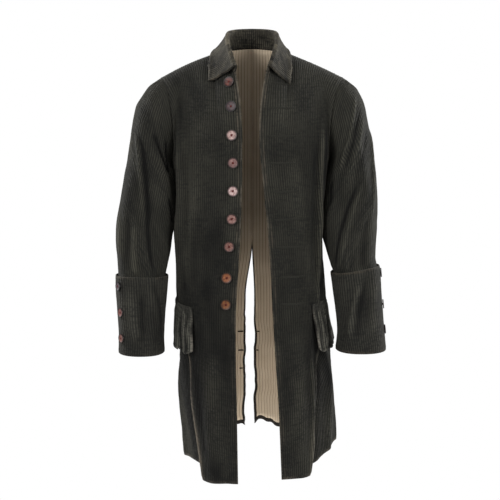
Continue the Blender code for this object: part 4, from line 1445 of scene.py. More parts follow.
@dataclass(frozen=True)
class Corduroy:
    """Cotton corduroy, woven and cut: raised ribs of pile with bare ground weave between them.

    The pile scatters light softly and shows a pale sheen at grazing angles. The ground between
    the ribs is painted almost black, its own darker weave with painted shade in the grooves;
    rubbing turns the edges brown, and fold ridges and troughs get painted light and shade.
    """

    name: str
    ground: str
    pile: str
    bloom: str
    rubbed: str
    rib_mm: float = 5.0
    fleck: float = 0.9
    sheen: float = 0.12
    brushed: float = 0.85

    def material(self) -> bpy.types.Material:
        """The cloth's material, on the piece's own grain in metres.

        Returns:
            The material.
        """
        made, tree = blank_material(self.name)
        grain = add_node(tree, "UVMap", uv_map="grain").outputs["UV"]
        split = add_node(tree, "SeparateXYZ", {0: grain})
        turns = math.pi * 1000 / self.rib_mm
        across = add_node(tree, "Math", {0: split, 1: turns}, operation="MULTIPLY")
        wave = add_node(tree, "Math", {0: across}, operation="SINE")
        rib = add_node(tree, "Math", {0: wave, 1: wave}, operation="MULTIPLY")
        # Uneven pile: each rib has its own lighter and darker lengths of about 7 mm
        lengths = add_node(tree, "Mapping", {"Vector": grain, "Scale": (210.0, 145.0, 1.0)})
        tufts = add_node(tree, "TexNoise", {"Vector": lengths, "Scale": 1.0, "Detail": 2.0})
        # Slubs: weft threads that lie a little thicker, about 29 mm long and 4 mm high
        weft = add_node(tree, "Mapping", {"Vector": grain, "Scale": (34.0, 250.0, 1.0)})
        slubs = add_node(tree, "TexNoise", {"Vector": weft, "Scale": 1.0, "Detail": 2.0})
        # Fading: patches of about 90 mm
        patches = add_node(tree, "TexNoise", {"Vector": grain, "Scale": 11.0, "Detail": 3.0})
        fuzz = add_node(tree, "TexNoise", {"Vector": grain, "Scale": 1100.0, "Detail": 3.0})
        mottle = add_node(tree, "Math", {0: tufts, 1: slubs}, operation="ADD")
        mottle = add_node(tree, "Math", {0: mottle, 1: patches}, operation="ADD")
        level = add_node(
            tree, "MapRange",
            {"Value": mottle, "From Min": 1.2, "From Max": 1.8,
             "To Min": 1 - self.fleck, "To Max": 1 + self.fleck},
        )
        # Painted shade: the grooves between the ribs are mixed towards the dark ground colour
        height = add_node(tree, "Math", {0: rib, 1: level}, operation="MULTIPLY")
        colour = add_node(
            tree, "Mix",
            {"Factor": height, 6: linear(self.ground), 7: linear(self.pile)},
            data_type="RGBA",
        )
        wear = add_node(tree, "Attribute", attribute_name="wear")
        rub = add_node(tree, "Math", {0: wear.outputs["Fac"], 1: level}, operation="MULTIPLY")
        colour = add_node(
            tree, "Mix",
            {"Factor": rub, 6: colour.outputs[2], 7: linear(self.rubbed)},
            data_type="RGBA",
        )
        # Painted light: fold ridges are painted pale as if lit, their troughs dark as shade
        bloom = add_node(tree, "Attribute", attribute_name="bloom")
        strength = add_node(
            tree, "MapRange",
            {"Value": bloom.outputs["Fac"], "From Min": -1.0, "From Max": 1.0,
             "To Min": max(0.1, 1 - self.brushed), "To Max": 1 + self.brushed},
        )
        brushed = add_node(
            tree, "VectorMath", {0: colour.outputs[2], "Scale": strength},
            operation="SCALE",
        )
        relief = add_node(
            tree, "Math",
            {0: fuzz, 1: 0.35, 2: height}, operation="MULTIPLY_ADD",
        )
        bump = add_node(tree, "Bump", {"Height": relief, "Strength": 0.55, "Distance": 0.0008})
        shader = add_node(
            tree, "BsdfPrincipled",
            {"Base Color": brushed, "Roughness": 0.95, "Specular IOR Level": 0.2,
             "Sheen Weight": self.sheen, "Sheen Roughness": 0.40,
             "Sheen Tint": linear(self.bloom), "Normal": bump},
        )
        add_node(tree, "OutputMaterial", {"Surface": shader})
        return made


@dataclass(frozen=True)
class StripedCotton:
    """Plain-woven unbleached cotton with narrow woven stripes: matt, thin and a little creased."""

    name: str
    ground: str
    stripe: str
    hairline: str
    stripe_mm: float = 8.0

    def material(self) -> bpy.types.Material:
        """The lining's material, with its stripes along the grain.

        Returns:
            The material.
        """
        made, tree = blank_material(self.name)
        grain = add_node(tree, "UVMap", uv_map="grain").outputs["UV"]
        split = add_node(tree, "SeparateXYZ", {0: grain})
        repeats = 1000 / self.stripe_mm
        place = add_node(tree, "Math", {0: split, 1: repeats}, operation="MULTIPLY")
        repeat = add_node(tree, "Math", {0: place}, operation="FRACT")
        colour = linear(self.ground)
        for start, width, tone, most in (
            (0.30, 0.15, self.stripe, 0.85), (0.62, 0.05, self.hairline, 0.6),
            (0.80, 0.05, self.hairline, 0.6),
        ):
            away = add_node(tree, "Math", {0: repeat, 1: start}, operation="SUBTRACT")
            away = add_node(tree, "Math", {0: away}, operation="ABSOLUTE")
            inside = add_node(
                tree, "MapRange",
                {"Value": away, "From Min": width * 0.35, "From Max": width * 0.65,
                 "To Min": most, "To Max": 0.0},
            )
            mixed = add_node(
                tree, "Mix", {"Factor": inside, 6: colour, 7: linear(tone)},
                data_type="RGBA",
            )
            colour = mixed.outputs[2]
        # Age: soft stains of about 60 mm
        stains = add_node(tree, "TexNoise", {"Vector": grain, "Scale": 16.0, "Detail": 4.0})
        stained = add_node(
            tree, "MapRange", {"Value": stains, "From Min": 0.35, "From Max": 0.75,
                               "To Min": 0.0, "To Max": 0.35},
        )
        aged = add_node(
            tree, "Mix", {"Factor": stained, 6: colour, 7: linear("#8d7a63")},
            data_type="RGBA",
        )
        # A plain weave of 0.8 mm, coarser than the real one so that it shows
        weave = add_node(tree, "Mapping", {"Vector": grain, "Scale": (1250.0, 1250.0, 1.0)})
        threads = add_node(tree, "TexChecker", {"Vector": weave, "Scale": 1.0})
        bump = add_node(
            tree, "Bump", {"Height": threads.outputs["Fac"], "Strength": 0.25, "Distance": 0.0002}
        )
        shader = add_node(
            tree, "BsdfPrincipled",
            {"Base Color": aged.outputs[2], "Roughness": 0.85, "Specular IOR Level": 0.25,
             "Sheen Weight": 0.08, "Normal": bump},
        )
        add_node(tree, "OutputMaterial", {"Surface": shader})
        return made


@dataclass(frozen=True)
class ClothBack:
    """The unbrushed back of corduroy: a flat, dark cotton twill that shows inside the coat."""

    name: str
    ground: str = "#130f0b"
    thread: str = "#2a231b"

    def material(self) -> bpy.types.Material:
        """The material, with its twill lines across the grain.

        Returns:
            The material.
        """
        made, tree = blank_material(self.name)
        grain = add_node(tree, "UVMap", uv_map="grain").outputs["UV"]
        turned = add_node(tree, "Mapping", {"Vector": grain, "Rotation": (0.0, 0.0, 0.785)})
        # Twill lines 3 mm apart, several times the real spacing so that they show
        twill = add_node(tree, "TexWave", {"Vector": turned, "Scale": 105.0, "Distortion": 0.6})
        soft = add_node(tree, "TexNoise", {"Vector": grain, "Scale": 25.0, "Detail": 3.0})
        share = add_node(tree, "Math", {0: twill.outputs["Fac"], 1: soft}, operation="MULTIPLY")
        colour = add_node(
            tree, "Mix",
            {"Factor": share, 6: linear(self.ground), 7: linear(self.thread)},
            data_type="RGBA",
        )
        bump = add_node(
            tree, "Bump", {"Height": twill.outputs["Fac"], "Strength": 0.3, "Distance": 0.0003}
        )
        shader = add_node(
            tree, "BsdfPrincipled",
            {"Base Color": colour.outputs[2], "Roughness": 0.92, "Specular IOR Level": 0.2,
             "Sheen Weight": 0.12, "Normal": bump},
        )
        add_node(tree, "OutputMaterial", {"Surface": shader})
        return made


@dataclass(frozen=True)
class ShellButtonFinish:
    """Worn shell or horn: cloudy colour, a dull polish, painted shade at the edge, a darker middle.
    """

    name: str
    body: str
    cloud: str

    def material(self) -> bpy.types.Material:
        """The material, clouded on Object coordinates over a few millimetres.

        Returns:
            The material.
        """
        made, tree = blank_material(self.name)
        where = add_node(tree, "TexCoord").outputs["Object"]
        clouds = add_node(
            tree, "TexNoise",
            {"Vector": where, "Scale": 190.0, "Detail": 3.0, "Distortion": 0.8},
        )
        share = add_node(
            tree, "MapRange",
            {"Value": clouds, "From Min": 0.35, "From Max": 0.68},
        )
        colour = add_node(
            tree, "Mix",
            {"Factor": share, 6: linear(self.body), 7: linear(self.cloud)},
            data_type="RGBA",
        )
        # Painted shade darkens the turned edge, and the middle under the thread is darker
        turned = add_node(tree, "Attribute", attribute_name="turned")
        rim = add_node(
            tree, "MapRange",
            {"Value": turned.outputs["Fac"], "From Min": 0.66, "From Max": 0.90,
             "To Min": 1.0, "To Max": 0.10},
        )
        middle = add_node(
            tree, "MapRange",
            {"Value": turned.outputs["Fac"], "From Min": 0.0, "From Max": 0.34,
             "To Min": 0.42, "To Max": 1.0},
        )
        rim_shade_and_dark_middle = add_node(tree, "Math", {0: rim, 1: middle}, operation="MULTIPLY")
        colour = add_node(
            tree, "VectorMath", {0: colour.outputs[2], "Scale": rim_shade_and_dark_middle},
            operation="SCALE",
        )
        fine = add_node(tree, "TexNoise", {"Vector": where, "Scale": 2500.0, "Detail": 2.0})
        gloss = add_node(tree, "MapRange", {"Value": fine, "To Min": 0.42, "To Max": 0.60})
        shader = add_node(
            tree, "BsdfPrincipled",
            {"Base Color": colour, "Roughness": gloss, "IOR": 1.36},
        )
        add_node(tree, "OutputMaterial", {"Surface": shader})
        return made


@dataclass(frozen=True)
class SewingThread:
    """Twisted thread: fine slanting plies that catch a little light."""

    name: str
    dark: str
    light: str
    ply_mm: float = 1.6

    def material(self) -> bpy.types.Material:
        """The material, with its plies on Object coordinates.

        Returns:
            The material.
        """
        made, tree = blank_material(self.name)
        where = add_node(tree, "TexCoord").outputs["Object"]
        slanted = add_node(tree, "Mapping", {"Vector": where, "Rotation": (0.0, 0.6, 0.5)})
        # The plies stand wider apart than real ones, so that they show
        plies = add_node(
            tree, "TexWave",
            {"Vector": slanted, "Scale": 314.0 / self.ply_mm, "Distortion": 0.5},
        )
        colour = add_node(
            tree, "Mix",
            {"Factor": plies.outputs["Fac"], 6: linear(self.dark), 7: linear(self.light)},
            data_type="RGBA",
        )
        bump = add_node(
            tree, "Bump", {"Height": plies.outputs["Fac"], "Strength": 0.4, "Distance": 0.0002}
        )
        shader = add_node(
            tree, "BsdfPrincipled",
            {"Base Color": colour.outputs[2], "Roughness": 0.9, "Specular IOR Level": 0.15,
             "Normal": bump},
        )
        add_node(tree, "OutputMaterial", {"Surface": shader})
        return made


# Painted fold light: the bend that gets it in full, and random patches of paler and darker tone
RANDOM_PALENESS = Roughness(61, 0.060, 0.090, 62, 0.016, 0.030, 0.7)
FULL_PAINTED_LIGHT_BEND = 0.0032
WANDER = Roughness(81, 0.030, 0.050, 82, 0.008, 0.018, 0.5)
RIB_WANDER = 0.0022


def wrinkled(node: str, cut: Cut) -> Array:
    """How far the finer wrinkles lift a piece's cloth.

    Args:
        node: The piece's node.
        cut: The cloth's cut.

    Returns:
        The heights.
    """
    total = np.zeros(cut.grain.shape[:2])
    for one in WRINKLES[node]:
        strength = WRINKLE_STRENGTH * one.height
        run = np.array([one.u_low - one.u_top, one.v_low - one.v_top])
        length = float(np.linalg.norm(run))
        away = cut.grain - np.array([one.u_top, one.v_top])
        t = (away @ run) / length**2
        beside = (away[..., 0] * run[1] - away[..., 1] * run[0]) / length
        beside = beside + one.bow * 4 * t * (1 - t)
        fade = ease(t / WRINKLE_FADE) * ease((1 - t) / WRINKLE_FADE)
        total += strength * fade * hump(beside, 0.0, one.width)
    return total


def brushed(bend: Array, seed: int, cut: Cut) -> Array:
    """Painted fold light: highlight up to 1 on the ridges, shade down to -1 in the troughs.

    Args:
        bend: How far the cloth bends outward.
        seed: The piece's own number, for its unevenness.
        cut: The cloth's cut.

    Returns:
        The paleness.
    """
    patch = RANDOM_PALENESS.at(seed, cut.grain[..., 0], cut.grain[..., 1])
    return np.clip(bend / FULL_PAINTED_LIGHT_BEND + 0.5 * patch, -1, 1)


def wobbled(cut: Cut, seed: int) -> None:
    """Lets the ribs of a cut wander a little, as cloth that has been worn does."""
    u, v = cut.grain[..., 0].copy(), cut.grain[..., 1]
    cut.grain[..., 0] = u + RIB_WANDER * WANDER.at(seed, u, v)


def patchy(seed: int, distance: Array, u: Array, v: Array, reach: float) -> Array:
    """Wear along an edge, in uneven patches.

    Args:
        seed: The piece's own number.
        distance: The distance from the edge.
        u: The distance across the grain.
        v: The distance along it.
        reach: How far the wear reaches in.

    Returns:
        The wear, from 0 to 1.
    """
    patch = unevenness(seed + 21, u / 0.014, v / 0.014)
    patch = 0.5 * patch + 0.5 * unevenness(seed + 23, u / 0.045, v / 0.045)
    return hump(distance, 0.0, reach) * ease((patch - 0.25) / 0.5)


def ribs(cut: Cut, pitch: float, height: float, seed: int) -> Array:
    """How far the corduroy's ribs stand up from the cloth, uneven along each rib.

    Args:
        cut: The cloth's cut.
        pitch: The distance from rib to rib.
        height: The ribs' height.
        seed: The piece's own number, for its unevenness.

    Returns:
        The heights, 0 in the troughs and at the cloth's edges.
    """
    u, v = cut.grain[..., 0], cut.grain[..., 1]
    across = abs(np.sin(math.pi * u / pitch)) ** 1.2
    rib = np.floor(u / pitch + 1e-6)
    uneven = 0.55 + 0.5 * unevenness(seed, rib, v / 0.013)
    uneven = uneven + 0.4 * unevenness(seed + 3, rib * 1.7, v / 0.0055)
    edge = ease(cut.inset() / 0.0012)
    return height * across * uneven * edge


@dataclass
class BodyPanels:
    """The two fronts and two backs, each one sheet of corduroy cut on the grain."""

    form: BodyForm
    finish: Corduroy
    back: ClothBack
    cloth: float = 0.0024
    rib: float = 0.0050
    rib_height: float = 0.0007
    yoke_rows: int = 42
    skirt_rows: int = 92
    samples: int = 161
    welt: float = 0.0006
    welt_in: float = 0.006
    softness: float = 0.0030
    waves: Roughness = Roughness(40, 0.055, 0.110, 50, 0.023, 0.060, 0.5)
    lined_trough: float = 0.0014
    edge_wear: float = 0.0020
    front_line: float = 0.0075
    line_width: float = 0.0016
    line_wear: float = 0.45
    pleat_roll: float = 0.008
    pleat_start: float = 1.48
    pleat_shadow: float = 0.105
    vent_start: float = 1.35
    level_to: float = 1.3
    yoke_slope: float = 1.05
    surfaces: dict = field(default_factory=dict)

    def cut(self, side: Side, panel: Panel) -> tuple:
        """Cuts one panel on its grain.

        Args:
            side: The wearer's side.
            panel: Front or back.

        Returns:
            The cut, each row's place down the panel, the cloth's points and its directions.
        """
        rows = np.linspace(0, 1, self.yoke_rows)
        rows = np.concatenate([rows, np.linspace(1, 2, self.skirt_rows)[1:]])
        samples = np.linspace(0, 1, self.samples)
        across, down = np.meshgrid(samples, rows)
        surface = self.form.cloth(side, panel, across, down)
        if panel == Panel.BACK:
            surface = seamed(surface, samples, (rows < self.form.seam_end).astype(float))
            surface = self.form.waved(side, surface, samples)
        u = lengths_along(surface, 1)
        if panel == Panel.BACK:
            u = u + abs(surface[:, :1, 0])
        at_underarm = u[self.yoke_rows - 1]
        x = abs(surface[..., 0])
        straight = (x - x[:, :1]) * self.yoke_slope
        share = ease(down)
        u = np.where(down < 1, straight * (1 - share) + at_underarm * share, u)
        u = np.maximum.accumulate(u + 1e-6 * samples, axis=1)
        v = lengths_along(surface, 0)
        v = v[self.yoke_rows - 1] - v
        cut = cut_on_grain(samples, u, v, self.rib / 4)
        outward = facing(surface) * (side * panel)
        if panel == Panel.BACK:
            outward[rows < self.level_to, 0, 0] = 0
        down = np.broadcast_to(rows[:, None], cut.params.shape)
        base = spread(samples, surface, cut.params)
        return cut, down, base, unit(spread(samples, unit(outward), cut.params))

    def build(self, side: Side, panel: Panel) -> bpy.types.Object:
        """Builds and dresses one panel.

        Args:
            side: The wearer's side.
            panel: The front or the back panel.

        Returns:
            The piece.
        """
        name = ("front_" if panel == Panel.FRONT else "back_") + self.form.named(side)
        cut, down, base, outward = self.cut(side, panel)
        seed = 11 + 3 * int(side) + int(panel)
        u, v = cut.grain[..., 0].copy(), cut.grain[..., 1]
        inset = cut.inset()
        at_seam = cut.from_edges() if panel == Panel.BACK else cut.from_last()
        free = self.from_free(cut, down, panel)
        wobbled(cut, seed)
        lift = ribs(cut, self.rib, self.rib_height, seed)
        bend = self.softness * self.waves.at(seed, u, v) * ease(inset / 0.03)
        bend = bend + wrinkled(name, cut) * ease(inset / 0.004)
        if panel == Panel.BACK:
            bend = bend.clip(-self.lined_trough)
        welt = self.welt * hump(at_seam, self.welt_in, self.welt_in / 2)
        lift = lift + welt * ease(inset / 0.002)
        outer = base + outward * (bend + lift)[..., None]
        under = bend if panel == Panel.FRONT else np.zeros_like(bend)
        inner = base + outward * (under - self.cloth)[..., None]
        wear = patchy(seed, free, u, v, self.edge_wear)
        bloom = brushed(bend, seed, cut)
        from_side, low = cut.from_last(), ease((down - self.pleat_start) / 0.05)
        if panel == Panel.FRONT:
            # The facing's edge rubs a line down the front, and the pleat's roll is rubbed brown.
            # The roll also gets a painted highlight, and painted shade darkens the skirt below
            from_front = u - np.take_along_axis(u, cut.low[:, None], 1)
            line = patchy(seed + 5, from_front - self.front_line, u, v, self.line_width)
            wear = wear + self.line_wear * line
            rolled = low * hump(from_side, self.pleat_roll, self.pleat_roll)
            wear = (wear + rolled * PLEATS[side].rubbed).clip(0, 1)
            bloom = bloom + 0.9 * rolled - PLEATS[side].dulled * ease((down - 1.15) / 0.4)
        else:
            # Painted shadow: the back is darkened inside the pleat, under the front skirt's edge
            folded = ease((self.pleat_shadow - from_side) / 0.030)
            bloom = bloom - PLEATS[side].shade * low * folded
        bloom = bloom.clip(-1, 1)
        rounding = (0.0, 0.4, 0.4 if panel == Panel.FRONT else 0.1, 0.2)
        self.surfaces[name] = (outer, outward)
        shell = Shell(
            name + "_cloth", outer, inner, cut, rounding=rounding, wear=wear, bloom=bloom
        )
        return dressed(shell, name, [self.finish.material(), self.back.material()])

    def from_free(self, cut: Cut, down: Array, panel: Panel) -> Array:
        """The distance from the panel's free edges, which rubbing browns.

        Args:
            cut: The piece's cut.
            down: Places down the panel.
            panel: The front or the back panel.

        Returns:
            The distances.
        """
        v = cut.grain[..., 1]
        hem = abs(v - v[-1:])
        centre = np.minimum(hem, cut.from_first())
        if panel == Panel.BACK:
            return np.where(down > self.vent_start, centre, hem)
        side_edge = np.where(down > self.pleat_start, cut.from_last(), 1.0)
        return np.minimum(centre, side_edge)


@dataclass
class Sleeves:
    """The sleeves, sheets of corduroy whose grain runs down the arm, and the cuffs over them."""

    form: SleeveForm
    finish: Corduroy
    cuff_finish: Corduroy
    lining: StripedCotton
    cloth: float = 0.0024
    cuff_cloth: float = 0.0028
    layer_gap: float = 0.0007
    stand_off: float = 0.0035
    cuff_row: float = 11.0
    rib: float = 0.0050
    rib_height: float = 0.0006
    head_rows: int = 9
    rows: int = 84
    cuff_rows: int = 27
    samples: int = 241
    cap_row: float = 2.5
    cap_lean: float = 0.25
    last_row: float = 15.0
    softness: float = 0.0022
    waves: Roughness = Roughness(7, 0.045, 0.075, 9, 0.030, 0.022, 0.6)
    edge_wear: float = 0.0020
    top_wear: float = 0.0014

    def cut(self, side: Side, rows: Array) -> tuple:
        """Cuts a tube on its grain, with its points and directions.

        Args:
            side: The wearer's side.
            rows: Places along the sleeve, in rows of its table.

        Returns:
            The cut, its points and its outward directions.
        """
        samples = np.linspace(-0.5, 0.5, self.samples)
        turns, down = np.meshgrid(samples, rows)
        surface = self.form.points(side, down, turns)
        u = self.around(surface, rows)
        v = -lengths_along(surface, 0)
        cut = cut_on_grain(samples, u, v, self.rib / 4)
        outward = facing(surface, closed=True) * side
        base = spread(samples, surface, cut.params)
        return cut, base, unit(spread(samples, outward, cut.params))

    def around(self, surface: Array, rows: Array) -> Array:
        """The distance round the arm from the outer line, square to the arm.

        Args:
            surface: The sleeve's points.
            rows: The sleeve rows.

        Returns:
            The distances, which the slant of a ring doesn't lengthen.
        """
        middles = surface[:, :-1].mean(axis=1)
        axis = unit(np.gradient(middles, axis=0))
        first = int(np.searchsorted(rows, self.cap_row))
        axis[:first] = axis[first]
        steps = np.diff(surface, axis=1)
        along = (steps * axis[:, None]).sum(-1, keepdims=True)
        lengths = np.linalg.norm(steps - along * axis[:, None], axis=-1)
        u = np.concatenate([np.zeros((len(rows), 1)), np.cumsum(lengths, axis=1)], axis=1)
        half = u.shape[1] // 2
        u = u - u[:, half][:, None]
        # Over the sleeve head the grain keeps its angle about a line leaning in to the shoulder
        drop, below = -surface[..., 2], slice(first, None)
        x = np.interp(drop, -middles[below, 2], abs(middles[below, 0]))
        x = x - self.cap_lean * (-middles[first, 2] - drop).clip(0)
        y = np.interp(drop, -middles[below, 2], middles[below, 1])
        angle = np.arctan2(y - surface[..., 1], abs(surface[..., 0]) - x)
        turn, forward = 2 * math.pi, np.arange(u.shape[1]) > half
        angle = np.where(forward & (angle < -math.pi / 2), angle + turn, angle)
        angle = np.where(~forward & (angle > math.pi / 2), angle - turn, angle)
        angle = np.maximum.accumulate(angle, axis=1)
        kept = np.stack([np.interp(row, angle[first], u[first]) for row in angle])
        share = ease((rows - self.cap_row) / 1.5)[:, None]
        u = np.maximum.accumulate(kept * (1 - share) + u * share, axis=1)
        return u + 1e-7 * np.arange(u.shape[1])

    def tube(self, kind: str, side: Side, rows: Array, off: Array, thick: float,
             finishes: Sequence[bpy.types.Material], ends: tuple) -> bpy.types.Object:
        """Builds one tube of cloth.

        Args:
            kind: The kind of tube: sleeve or cuff.
            side: The wearer's side.
            rows: The sleeve rows that it runs through.
            off: How far its inner skin stands off the sleeve's outer one at each row, or minus
                the cloth's thickness for the sleeve itself.
            thick: The cloth's thickness.
            finishes: The materials of the outer and inner skins.
            ends: How far the two ends are rounded.

        Returns:
            The object.
        """
        node = kind + "_" + self.form.body.named(side)
        cut, base, outward = self.cut(side, rows)
        seed = 71 + 5 * int(side) + len(rows)
        u, v = cut.grain[..., 0].copy(), cut.grain[..., 1]
        wobbled(cut, seed)
        lift = ribs(cut, self.rib, self.rib_height, seed)
        soft, inset = self.softness * self.waves.at(seed, u, v), cut.inset()
        bend = soft * ease(inset / 0.02) + wrinkled(node, cut) * ease(inset / 0.004)
        if kind == "sleeve":
            bend = bend * ease((self.cuff_row - rows) / 0.8)[:, None]
        inner = base + outward * (off[:, None] + bend)[..., None]
        outer = inner + outward * (thick + lift)[..., None]
        wear = 0.6 * patchy(seed, abs(v - v[-1:]), u, v, self.edge_wear)
        if ends[0]:
            wear = wear + 0.3 * patchy(seed + 1, abs(v - v[:1]), u, v, self.top_wear)
        # The sleeve's fold ridges and troughs get painted light and shade
        shell = Shell(node + "_cloth", outer, inner, cut, tube=True, wear=wear,
                      bloom=brushed(bend, seed, cut), rounding=(*ends, 0.0, 0.0))
        return dressed(shell, node, finishes)

    def build(self, side: Side) -> list:
        """Builds and dresses one sleeve and its cuff.

        Args:
            side: The wearer's side.

        Returns:
            The sleeve and its cuff.
        """
        rows = np.linspace(1, self.last_row, self.rows)[1:]
        rows = np.concatenate([np.linspace(0, 1, self.head_rows), rows])
        sleeve = self.tube(
            "sleeve", side, rows, np.full(len(rows), -self.cloth), self.cloth,
            [self.finish.material(), self.lining.material()], (0.0, 0.4),
        )
        rows = np.linspace(self.cuff_row, self.last_row, self.cuff_rows)
        up = (self.last_row - rows) / (self.last_row - self.cuff_row)
        off = self.layer_gap + self.stand_off * ease(up)
        finish = self.cuff_finish.material()
        cuff = self.tube(
            "cuff", side, rows, off, self.cuff_cloth, [finish, finish], (0.45, 0.45)
        )
        return [sleeve, cuff]


@dataclass
class Collar:
    """The collar: one folded piece of browner, rubbed corduroy, with its ribs across it."""

    form: BodyForm
    finish: Corduroy
    cloth: float = 0.0030
    seam_gap: float = 0.0003
    fold_radius: float = 0.0042
    edge_lift: float = 0.0030
    fall_bend: float = -0.0035
    ragged: float = 0.0016
    blunt: float = 0.0065
    left_shift: tuple = (-0.045, 0.030)
    rib: float = 0.0050
    rib_height: float = 0.0012
    columns: int = 221
    stand_rows: int = 14
    fold_rows: int = 12
    fall_rows: int = 30
    rag: Roughness = Roughness(147, 0.022, 1.0, 149, 0.009, 1.0, 0.7)
    seed: int = 131
    softness: float = 0.0022
    swell: float = 0.0011
    swell_in: float = 0.004
    droops: tuple = ((R, (0.0, 0.45, 0.40, 1.0, 0.85)), (L, (0.0, 0.15, 0.25, 0.60, 1.0)))
    droop_places: tuple = (0.0, 0.25, 0.50, 0.78, 1.0)

    def path(self, side: Side, place: Array) -> tuple:
        """The fold and free edge of half the collar, at places from the centre back.

        Args:
            side: The wearer's side.
            place: Places along the seam, from the centre back (0) to the front.

        Returns:
            The points along the fold, and those along the free edge.
        """
        mirror = np.array([side, 1, 1])
        names = ("fold_across", "fold_depth", "fold_height")
        fold = np.stack([read(COLLAR_STATIONS, "place", c, place) for c in names], axis=-1)
        edges = []
        for station in COLLAR_STATIONS:
            shift = 1.0 if side == L and station.panel == Panel.FRONT else 0.0
            one = np.array([station.edge_across + self.left_shift[0] * shift])
            two = np.array([station.edge_down + self.left_shift[1] * shift])
            lifted = self.form.cloth_normals(side, station.panel, one, two + 0.01)
            point = self.form.cloth(side, station.panel, one, two)
            point = point + lifted * (self.edge_lift + self.cloth)
            edges.append(CollarEdge(station.place, *(point[0] * mirror)))
        edge = np.stack([read(edges, "place", c, place) for c in ("x", "y", "z")], axis=-1)
        return fold * mirror, edge * mirror

    def half(self, side: Side, place: Array) -> tuple:
        """The middle surface of half the collar, and the way off the panels at its seam.

        Args:
            side: The wearer's side.
            place: Places along the seam, from the centre back (0) to the front.

        Returns:
            The points, from the seam to the free edge, and the directions.
        """
        seam, off = self.form.neckline(side, place)
        fold, edge = self.path(side, place)
        radius = self.fold_radius
        along = unit(np.gradient(fold, axis=0))
        up = unit(np.array([0, 0, 1.0]) - along * along[:, 2:])
        outward = edge - seam
        outward = unit(outward - along * (outward * along).sum(-1, keepdims=True))
        outward = unit(outward - up * (outward * up).sum(-1, keepdims=True))
        inside, outside = fold - outward * radius, fold + outward * radius
        ragged = self.ragged * 2 * self.rag.at(int(side), place, np.zeros_like(place))
        edge = edge + unit(edge - outside) * ragged[:, None]
        bend = (outside + edge) / 2 + (outward + up) * self.fall_bend
        path = [seam * (1 - t) + inside * t for t in np.linspace(0, 1, self.stand_rows)]
        for angle in np.linspace(math.pi, 0, self.fold_rows)[1:-1]:
            path.append(fold + (outward * math.cos(angle) + up * math.sin(angle)) * radius)
        # The ends droop: the right one has a blunt point, the left one a long point
        droop = self.blunt * ease((place - 0.80) / 0.20)[:, None]
        shape = dict(self.droops)[side]
        for t in np.linspace(0, 1, self.fall_rows):
            share = np.interp(t, self.droop_places, shape)
            fall = curve((outside, bend, edge), np.full(len(place), t))
            path.append(fall + along * droop * share)
        return np.array(path), off

    def build(self) -> bpy.types.Object:
        """Builds and dresses the collar.

        Returns:
            The piece.
        """
        place = np.linspace(0, 1, self.columns)
        halves = {side: self.half(side, place) for side in Side}
        grid = np.concatenate([halves[R][0][:, ::-1], halves[L][0][:, 1:]], axis=1)
        off = np.concatenate([halves[R][1][::-1], halves[L][1][1:]])
        crown = self.stand_rows + self.fold_rows // 2 - 1
        along = unit(np.gradient(grid[crown], axis=0))
        outward = unit(np.cross(np.gradient(grid, axis=0), along[None]))
        cut = whole_cut(grid)
        u = np.broadcast_to(cut.grain[crown, :, 0], cut.grain.shape[:2])
        cut.grain[..., 0] = u
        v = cut.grain[..., 1]
        wobbled(cut, self.seed)
        lift = ribs(cut, self.rib, self.rib_height, self.seed)
        soft = unevenness(self.seed + 10, u / 0.030, v / 0.022) - 0.5
        inset = cut.inset()
        lift = lift + self.softness * soft * ease(inset / 0.01)
        # The free edges are thick and rolled, where the seam allowances lie between the layers
        swell = self.swell * hump(inset, self.swell_in, self.swell_in) * ease(v / 0.03)
        half = (self.cloth / 2 + lift + swell)[..., None]
        outer = grid + outward * half
        inner = grid - outward * (self.cloth / 2 + swell)[..., None]
        outer[0] = grid[0] + off * self.seam_gap
        inner[0] = outer[0] - outward[0] * self.cloth
        lack = self.seam_gap - ((inner[0] - grid[0]) * off).sum(-1, keepdims=True)
        for skin in (outer, inner):
            skin[0] += off * lack.clip(0)
        wear = 0.35 * patchy(self.seed, inset, u, v, 0.0024) * ease(v / 0.03)
        wear = wear + 0.5 * patchy(self.seed + 2, v - v[crown], u, v, 0.0060)
        # Painted light and shade on the collar's lumps, with random paler and darker blotches
        blotch = unevenness(self.seed + 6, u / 0.009, v / 0.007) - 0.5
        bloom = brushed(0.0031 * soft + 0.0034 * blotch, self.seed + 4, cut)
        finish = self.finish.material()
        shell = Shell("collar_cloth", outer, inner, cut, rounding=(0.0, 0.5, 0.45, 0.45),
                      wear=wear, bloom=bloom)
        return dressed(shell, "collar", [finish, finish])


